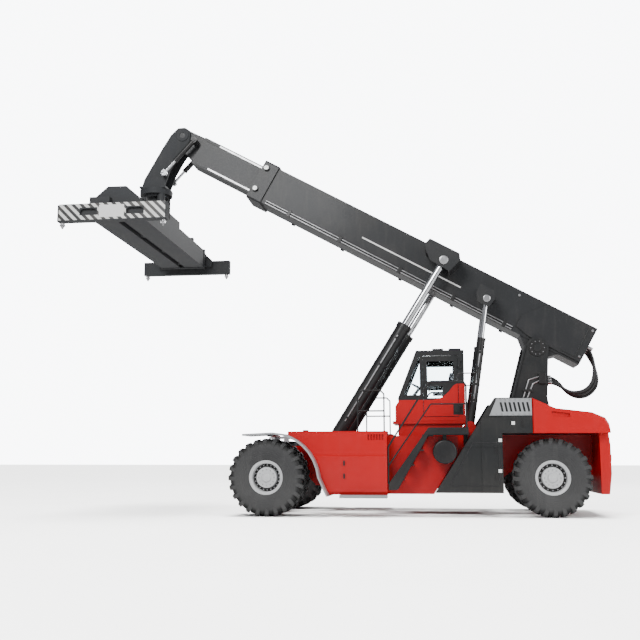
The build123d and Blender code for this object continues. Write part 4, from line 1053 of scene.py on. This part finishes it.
class STACKER_OT_cylinder_trim(bpy.types.Operator):
    """Clamp an oil pipe along each lift and hold cylinder"""

    bl_idname = "stacker.cylinder_trim"
    bl_label = "Cylinder trim"

    def execute(self, context):
        radius = context.scene.stacker_trim.pipe_diameter / 2
        for body, barrel_joint, rod_joint, first in (
            ("lift_barrels", "lift_barrel_swing", "lift_rod_slide", 0.85),
            ("hold_barrels", "hold_barrel_swing", "hold_rod_slide", 0.55),
        ):
            foot = Vector(joints[barrel_joint]["pos_m"])
            way = Vector(joints[rod_joint]["axis"])
            turn = facing(Vector(), way)
            pipes = []
            clamps = bmesh.new()
            for barrel in islands(body):
                ends = [point.y for point in barrel]
                side = 1 if sum(ends) > 0 else -1
                base = Vector((foot.x, (min(ends) + max(ends)) / 2, foot.z))
                along = [(point - base).dot(way) for point in barrel]
                middle = [(point - base - way * a).length for point, a in zip(barrel, along) if a > first]
                wall = min(r for r in middle if r > 0.6 * max(middle))
                last = max(along) - pipe_end_inset
                out = Vector((0, side * (wall + radius + pipe_gap), 0))
                pipes.append(tube_mesh("pipe", [base + way * first + out, base + way * last + out], radius))
                strap = band_profile(wall - 0.002, wall + pipe_gap, -0.02, 0.02)
                for share in clamp_shares:
                    spot = base + way * (first + share * (last - first))
                    add_turned(clamps, strap, spot, way, 40)
                    add_slab(clamps, spot + out, clamp_size, 0.008, turn)
            keep(joined(f"{body}_pipes", pipes), body, "bright_steel")
            keep(from_bmesh(f"{body}_clamps", clamps), body, "black_steel")
        return {"FINISHED"}


# Fields round the fork pockets of the spreader's end face, as x0, x1, z0, z1 from its middle and its locks
hazard_rooms = (
    (-1.19, -0.72, 0.025, 0.385),
    (-0.72, -0.32, 0.295, 0.385),
    (-0.72, -0.32, 0.025, 0.125),
    (-0.32, 0.32, 0.025, 0.385),
    (0.32, 0.72, 0.295, 0.385),
    (0.32, 0.72, 0.025, 0.125),
    (0.72, 1.19, 0.025, 0.385),
)
panel_thickness = 0.003
plate_size = (0.56, panel_thickness, 0.27)
plate_height = 0.205


class STACKER_OT_hazard_panels(bpy.types.Operator):
    """Put black and white bands on the ends of the spreader"""

    bl_idname = "stacker.hazard_panels"
    bl_label = "Hazard panels"

    def execute(self, context):
        for side, word in sides:
            low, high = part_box(f"arm_{word}")
            middle = (low.x + high.x) / 2
            face = high.y if side > 0 else low.y
            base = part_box(f"twistlocks_{word}")[1].z
            bands = bmesh.new()
            for x0, x1, z0, z1 in hazard_rooms:
                y = face + side * panel_thickness / 2
                centre = Vector((middle + (x0 + x1) / 2, y, base + (z0 + z1) / 2))
                add_slab(bands, centre, (x1 - x0, panel_thickness, z1 - z0), 0.001)
            keep(from_bmesh(f"hazard_panels_{word}", bands), f"arm_{word}", "hazard")
            blank = bmesh.new()
            add_slab(blank, Vector((middle, face + side * 0.004, base + plate_height)), plate_size, 0.001)
            keep(from_bmesh(f"blank_plate_{word}", blank), f"arm_{word}", "stripe_white")
        return {"FINISHED"}


# Seat pads, as name, way back from the seat's front, height, size and lean, and how they are shaped
seat_pads = (
    ("seat_cushion", 0.25, 0.36, (0.48, 0.48, 0.13), 0.0),
    ("seat_back", 0.49, 0.74, (0.12, 0.46, 0.64), -0.14),
)
pad_rim = 0.72
channel_depth = 0.10


class STACKER_OT_cab_trim(bpy.types.Operator):
    """Add window seals, the wiper and the padded seat"""

    bl_idname = "stacker.cab_trim"
    bl_label = "Cab trim"

    def execute(self, context):
        radius = context.scene.stacker_trim.seal_radius
        low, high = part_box("cab_sides")
        inside = (low + high) / 2
        for node, body in (("cab_glass", "chassis"), ("cab_door_glass", "cab_door")):
            seals = []
            for pane in islands(node):
                corners, way = pane_rim(pane, inside)
                loop = [corner + way * 0.004 for corner in corners]
                seals.append(tube_mesh("seal", loop, radius, closed=True))
            keep(joined(node + "_seals", seals), body, "rubber")
        self.add_wiper(inside)
        self.add_seat()
        return {"FINISHED"}

    def add_wiper(self, inside):
        """Wiper arm and blade across the tallest sloped front pane."""
        panes = [pane_rim(pane, inside) for pane in islands("cab_glass")]
        corners, way = max(panes, key=lambda pane: pane[1].x * (pane[1].z > 0.05))
        middle = sum(corners, Vector()) / len(corners)
        foot = Vector((min(corners, key=lambda c: c.z).x, 0.0, min(c.z for c in corners)))
        top = middle + (middle - foot) * 0.35
        across = Vector((0, 0.35, 0))
        arm_lift, blade_lift = way * 0.03, way * 0.022
        arm = tube_mesh("wiper_arm", [foot + arm_lift, top + across * 0.5 + arm_lift], 0.008)
        ends = [top - across * 0.2 + blade_lift, top + across * 1.2 + blade_lift]
        blade = tube_mesh("wiper_blade", ends, 0.009)
        keep(joined("windscreen_wiper", [arm, blade]), "chassis", "black_steel")

    def add_seat(self):
        """Crowned cushion and backrest on a sprung base, in the room of the plain seat."""
        low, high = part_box("operator_seat")
        floor, front = low.z, high.x
        base = bmesh.new()
        add_slab(base, Vector((front - 0.27, 0, floor + 0.15)), (0.30, 0.30, 0.29), 0.02)
        for side in (1, -1):
            add_slab(base, Vector((front - 0.27, side * 0.31, floor + 0.585)), (0.35, 0.07, 0.045), 0.015)
            add_slab(base, Vector((front - 0.41, side * 0.285, floor + 0.50)), (0.06, 0.09, 0.16), 0.012)
        base_piece = keep(from_bmesh("seat_base", base), "chassis", "plastic")
        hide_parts("operator_seat")
        for name, along, up, size, lean in seat_pads:
            place = Matrix.Translation((front - along, 0, floor + up)) @ Matrix.Rotation(lean, 4, "Y")
            pad = from_bmesh(name, self.crowned_pad(size, place), True)
            soft = pad.modifiers.new("soft", "SUBSURF")
            soft.levels = 1
            soft.render_levels = 1
            keep(pad, "chassis", "seat_cloth")

    def crowned_pad(self, size, place):
        """Block that is thicker towards its middle, with two sewn channels along it."""
        bm = bmesh.new()
        bmesh.ops.create_cube(bm, size=1.0)
        bmesh.ops.subdivide_edges(bm, edges=bm.edges, cuts=9, use_grid_fill=True)
        thin = size.index(min(size))
        for vert in bm.verts:
            crown = 1.0
            for axis in range(3):
                if axis != thin:
                    crown *= max(0.0, 1.0 - (2 * abs(vert.co[axis])) ** 6)
            channel = math.cos(4 * math.pi * vert.co.y) ** 12 if abs(vert.co.y) < 0.45 else 0.0
            vert.co[thin] *= (pad_rim + (1.0 - pad_rim) * crown) * (1.0 - channel_depth * channel)
        bm.transform(place @ Matrix.Diagonal((*size, 1.0)))
        return bm


# Places on the engine covers, as x from their rear end and height above the ground, and the tank cap
cover_latches = ((0.77, 0.85), (0.77, 1.40), (0.20, 1.95))
hatch_corners = ((0.71, 0.65), (1.75, 0.65), (1.25, 1.55), (0.71, 1.55))
tank_cap = [(0.0, 0.0), (0.065, 0.0), (0.065, 0.025), (0.055, 0.035), (0.0, 0.035)]


class STACKER_OT_body_trim(bpy.types.Operator):
    """Add studs, bolts, mirror glass, latches, caps, seals, lenses, guard rails and tower pipes"""

    bl_idname = "stacker.body_trim"
    bl_label = "Body trim"

    def execute(self, context):
        trim = context.scene.stacker_trim
        self.add_deck_studs(trim)
        self.add_panel_bolts(trim)
        self.add_mirror_glass()
        self.add_hatch_parts()
        self.add_tail_lenses()
        self.add_guard_rails()
        self.add_tower_pipes(trim.pipe_diameter / 2)
        return {"FINISHED"}

    def add_tail_lenses(self):
        """Red lenses on the lamps at the back of the counterweight."""
        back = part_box("counterweight")[0].x
        bm = bmesh.new()
        for lamp in islands("chassis_lamps"):
            corners = list(zip(*lamp))
            low = Vector([min(values) for values in corners])
            high = Vector([max(values) for values in corners])
            if low.x < back + 0.01:
                size = high - low
                middle = Vector((low.x - 0.002, (low.y + high.y) / 2, (low.z + high.z) / 2))
                add_slab(bm, middle, (0.008, size.y + 0.006, size.z + 0.006), 0.002)
        keep(from_bmesh("tail_lenses", bm), "chassis", "tail_red")

    def add_deck_studs(self, trim):
        """Grip studs on the platform beside the cab."""
        platform_length, platform_width, platform_y = 0.80, 0.52, 1.40
        edge = 0.02
        deck_low, deck_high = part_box("stairs")
        middle_x = deck_low.x + 0.03 + platform_length / 2
        values = {
            "Length": platform_length - 2 * edge,
            "Width": platform_width,
            "Along": int(platform_length / trim.stud_pitch),
            "Across": int(platform_width / trim.stud_pitch),
        }
        fields = []
        for side in (1, -1):
            place = Matrix.Translation((middle_x, side * platform_y, deck_high.z))
            fields.append(bolts_at(stud_field, place, 0.014, 0.007, "black_steel", **values))
        keep(joined("deck_studs", fields), "chassis", None)

    def add_panel_bolts(self, trim):
        """Rows of bolt heads round the louvre panels and rings of them on the counterweight."""
        low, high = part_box("louvre_panels")
        length, edge = high.x - low.x, 0.03
        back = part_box("counterweight")[0].x
        rows = []
        for side in (1, -1):
            for z, share in ((low.z + edge, 0.92), (high.z - edge, 0.80)):
                start = Matrix.Translation((low.x + 0.04, side * high.y, z))
                place = start @ Matrix.Rotation(-side * math.pi / 2, 4, "X")
                row = {"Count": 8, "Span": (share * length, 0.0, 0.0)}
                rows.append(bolts_at(bolt_row, place, trim.bolt_radius, 0.012, **row))
        for side in (1, -1):
            place = facing(Vector((back + 0.002, side * 0.55, 1.40)), (-1, 0, 0))
            rows.append(bolts_at(nut_ring, place, 0.020, 0.020, Count=6, Ring_Radius=0.07))
        keep(joined("panel_bolts", rows), "chassis", None)

    def add_mirror_glass(self):
        """Bright plates on the rear faces of the mirrors."""
        bm = bmesh.new()
        for mirror in islands("mirrors"):
            top = max(point.z for point in mirror)
            rim = [point for point in mirror if point.z > top - 0.002]
            rear = min(point.x for point in rim)
            middle_y = sum(point.y for point in rim) / len(rim)
            add_slab(bm, Vector((rear + 0.008, middle_y, top - 0.155)), (0.004, 0.17, 0.26), 0.001)
        keep(from_bmesh("mirror_glass", bm), "chassis", "chrome")

    def add_hatch_parts(self):
        """Latches and hatch seals on the engine covers and filler caps on the tanks."""
        covers_low, covers_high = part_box("engine_covers")
        tank_low, tank_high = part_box("side_tanks")
        latches = bmesh.new()
        caps = bmesh.new()
        seals = []
        for side in (1, -1):
            face = side * covers_high.y
            for x, z in cover_latches:
                spot = Vector((covers_low.x + x, face + side * 0.008, z))
                add_slab(latches, spot, (0.05, 0.016, 0.14), 0.005)
            loop = [Vector((covers_low.x + x, face, z)) for x, z in hatch_corners]
            seals.append(tube_mesh("hatch_seal", loop, 0.008, closed=True))
            add_turned(caps, tank_cap, Vector((tank_high.x - 0.35, side * 1.45, tank_high.z)), (0, 0, 1), 24)
            for z in (0.85, 1.12):
                spot = Vector((tank_low.x + 2.42, side * (tank_high.y + 0.006), z))
                add_slab(latches, spot, (0.035, 0.012, 0.11), 0.004)
        keep(from_bmesh("cover_latches", latches), "chassis", "black_steel")
        keep(from_bmesh("tank_caps", caps), "chassis", "black_steel")
        keep(joined("hatch_seals", seals), "chassis", "rubber")

    def add_guard_rails(self):
        """Guard rails on the tank tops beside the lift cylinders."""
        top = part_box("side_tanks")[1].z
        radius, y = 0.018, 1.30
        rear, front, height, corner = -1.08, -0.50, 0.90, 0.08
        hoop = [
            (rear, -0.01),
            (rear, height - corner),
            (rear + corner, height),
            (front - corner, height),
            (front, height - corner),
            (front, -0.01),
        ]
        middle_rail = [(rear, height / 2), (front, height / 2)]
        rails = []
        feet = bmesh.new()
        for side in (1, -1):
            for shape in (hoop, middle_rail):
                route = [Vector((x, side * y, top + z)) for x, z in shape]
                rails.append(tube_mesh("rail", route, radius))
            for x in (rear, front):
                foot = Vector((x, side * y, top))
                add_turned(feet, band_profile(0.016, 0.05, -0.001, 0.014), foot, (0, 0, 1), 24)
        keep(joined("guard_rails", rails), "chassis", "black_steel")
        keep(from_bmesh("guard_rail_feet", feet), "chassis", "black_steel")

    def add_tower_pipes(self, radius):
        """Two oil pipes up each side of the tower to a valve block."""
        face = tower_side_y + radius
        block_y, clamp_y = tower_side_y + 0.03, tower_side_y + 0.017
        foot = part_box("boom_tower")[0].z + 0.045
        pipes = []
        blocks = bmesh.new()
        for side in (1, -1):
            for step in (0.0, 0.09):
                bends = (
                    (0.74 - step, foot),
                    (0.35 - step, 2.56),
                    (0.22 - step, 2.96 - step),
                    (-0.04, 3.04 - step),
                )
                route = [Vector((boom_pivot.x + x, side * face, z)) for x, z in bends]
                pipes.append(tube_mesh("tower_pipe", route, radius))
            add_slab(blocks, Vector((boom_pivot.x - 0.08, side * block_y, 2.99)), (0.16, 0.07, 0.24), 0.01)
            for x, z in ((0.50, 2.18), (0.25, 2.72)):
                add_slab(blocks, Vector((boom_pivot.x + x, side * clamp_y, z)), (0.22, 0.04, 0.06), 0.008)
        keep(joined("tower_pipes", pipes), "chassis", "bright_steel")
        keep(from_bmesh("tower_blocks", blocks), "chassis", "black_steel")


class STACKER_OT_stage(bpy.types.Operator):
    """Set the floor, the soft studio lights and the camera"""

    bl_idname = "stacker.stage"
    bl_label = "Stage"

    def execute(self, context):
        stage = context.scene.stacker_stage
        floor = self.add_floor(stage.floor_size)
        self.add_lights(context)
        self.add_floor_light(context, floor)
        camera_data = bpy.data.cameras.new("photo_camera")
        camera_data.sensor_width = 36.0
        camera_data.lens = stage.lens
        camera_data.clip_end = 500.0
        camera = bpy.data.objects.new("photo_camera", camera_data)
        camera.location = stage.camera_place
        camera.rotation_euler = (math.pi / 2 + stage.camera_tilt, 0.0, math.pi + stage.camera_turn)
        context.scene.collection.objects.link(camera)
        context.scene.camera = camera
        return {"FINISHED"}

    def add_floor(self, size):
        bm = bmesh.new()
        bmesh.ops.create_grid(bm, x_segments=1, y_segments=1, size=size / 2)
        floor = from_bmesh("floor", bm)
        tree, shader = new_finish("pale_floor", Roughness=0.8)
        cloud = noise(tree, object_place(tree), 0.4, 5.0)
        pale = mixed(tree, cloud, (0.86, 0.86, 0.85, 1.0), (0.92, 0.92, 0.91, 1.0))
        tone = mixed(tree, seen_share(tree), (0.20, 0.20, 0.20, 1.0), pale)
        feed(tree, shader, Base_Color=tone)
        floor.data.materials.append(finishes["pale_floor"])
        return floor

    def add_floor_light(self, context, floor):
        """Wide light from above that falls on the floor alone, for a white floor with a soft shadow."""
        lit = bpy.data.collections.new("lit_floor")
        lit.objects.link(floor)
        data = bpy.data.lights.new("floor_light", "SUN")
        data.energy = 12.0
        data.angle = math.radians(30.0)
        lamp = bpy.data.objects.new("floor_light", data)
        lamp.location = (0.0, 0.0, 20.0)
        lamp.light_linking.receiver_collection = lit
        context.scene.collection.objects.link(lamp)

    def add_lights(self, context):
        world = bpy.data.worlds.new("studio_sky")
        world.use_nodes = True
        tree = world.node_tree
        sky = tree.nodes["Background"]
        lit, seen = 0.4, 9.0
        strength = maths(tree, "ADD", maths(tree, "MULTIPLY", seen_share(tree), seen), lit)
        feed(tree, sky, Color=(0.93, 0.95, 0.98, 1.0), Strength=strength)
        context.scene.world = world
        centre = Vector((0.0, 0.0, 3.5))
        lamps = (
            ("key_light", (6.0, 22.0, 17.0), 9.0, 5200.0),
            ("fill_light", (-18.0, 12.0, 9.0), 10.0, 2200.0),
            ("back_light", (-4.0, -20.0, 16.0), 10.0, 2600.0),
        )
        for name, spot, size, power in lamps:
            data = bpy.data.lights.new(name, "AREA")
            data.size = size
            data.energy = power
            lamp = bpy.data.objects.new(name, data)
            lamp.location = spot
            lamp.rotation_euler = (centre - Vector(spot)).to_track_quat("-Z", "Y").to_euler()
            context.scene.collection.objects.link(lamp)


class STACKER_PT_panel(bpy.types.Panel):
    """Lists the dressing steps in order"""

    bl_idname = "STACKER_PT_panel"
    bl_label = "Reach stacker"
    bl_space_type = "VIEW_3D"
    bl_region_type = "UI"
    bl_category = "Reach stacker"

    def draw(self, context):
        for operator in operators:
            self.layout.operator(operator.bl_idname)


settings = (PaintSettings, TrimSettings, StageSettings)
operators = (
    STACKER_OT_finishes,
    STACKER_OT_stage,
    STACKER_OT_tail_hoses,
    STACKER_OT_tyres,
    STACKER_OT_wheels,
    STACKER_OT_boom_trim,
    STACKER_OT_pivot_trim,
    STACKER_OT_cylinder_trim,
    STACKER_OT_hazard_panels,
    STACKER_OT_cab_trim,
    STACKER_OT_body_trim,
)


def register():
    for group in settings:
        bpy.utils.register_class(group)
    for operator in operators:
        bpy.utils.register_class(operator)
    bpy.utils.register_class(STACKER_PT_panel)
    bpy.types.Scene.stacker_paint = bpy.props.PointerProperty(type=PaintSettings)
    bpy.types.Scene.stacker_trim = bpy.props.PointerProperty(type=TrimSettings)
    bpy.types.Scene.stacker_stage = bpy.props.PointerProperty(type=StageSettings)


def unregister():
    del bpy.types.Scene.stacker_stage
    del bpy.types.Scene.stacker_trim
    del bpy.types.Scene.stacker_paint
    bpy.utils.unregister_class(STACKER_PT_panel)
    for operator in reversed(operators):
        bpy.utils.unregister_class(operator)
    for group in reversed(settings):
        bpy.utils.unregister_class(group)


def main():
    register()
    for operator in operators:
        group, step = operator.bl_idname.split(".")
        getattr(getattr(bpy.ops, group), step)()


if __name__ == "__main__":
    main()
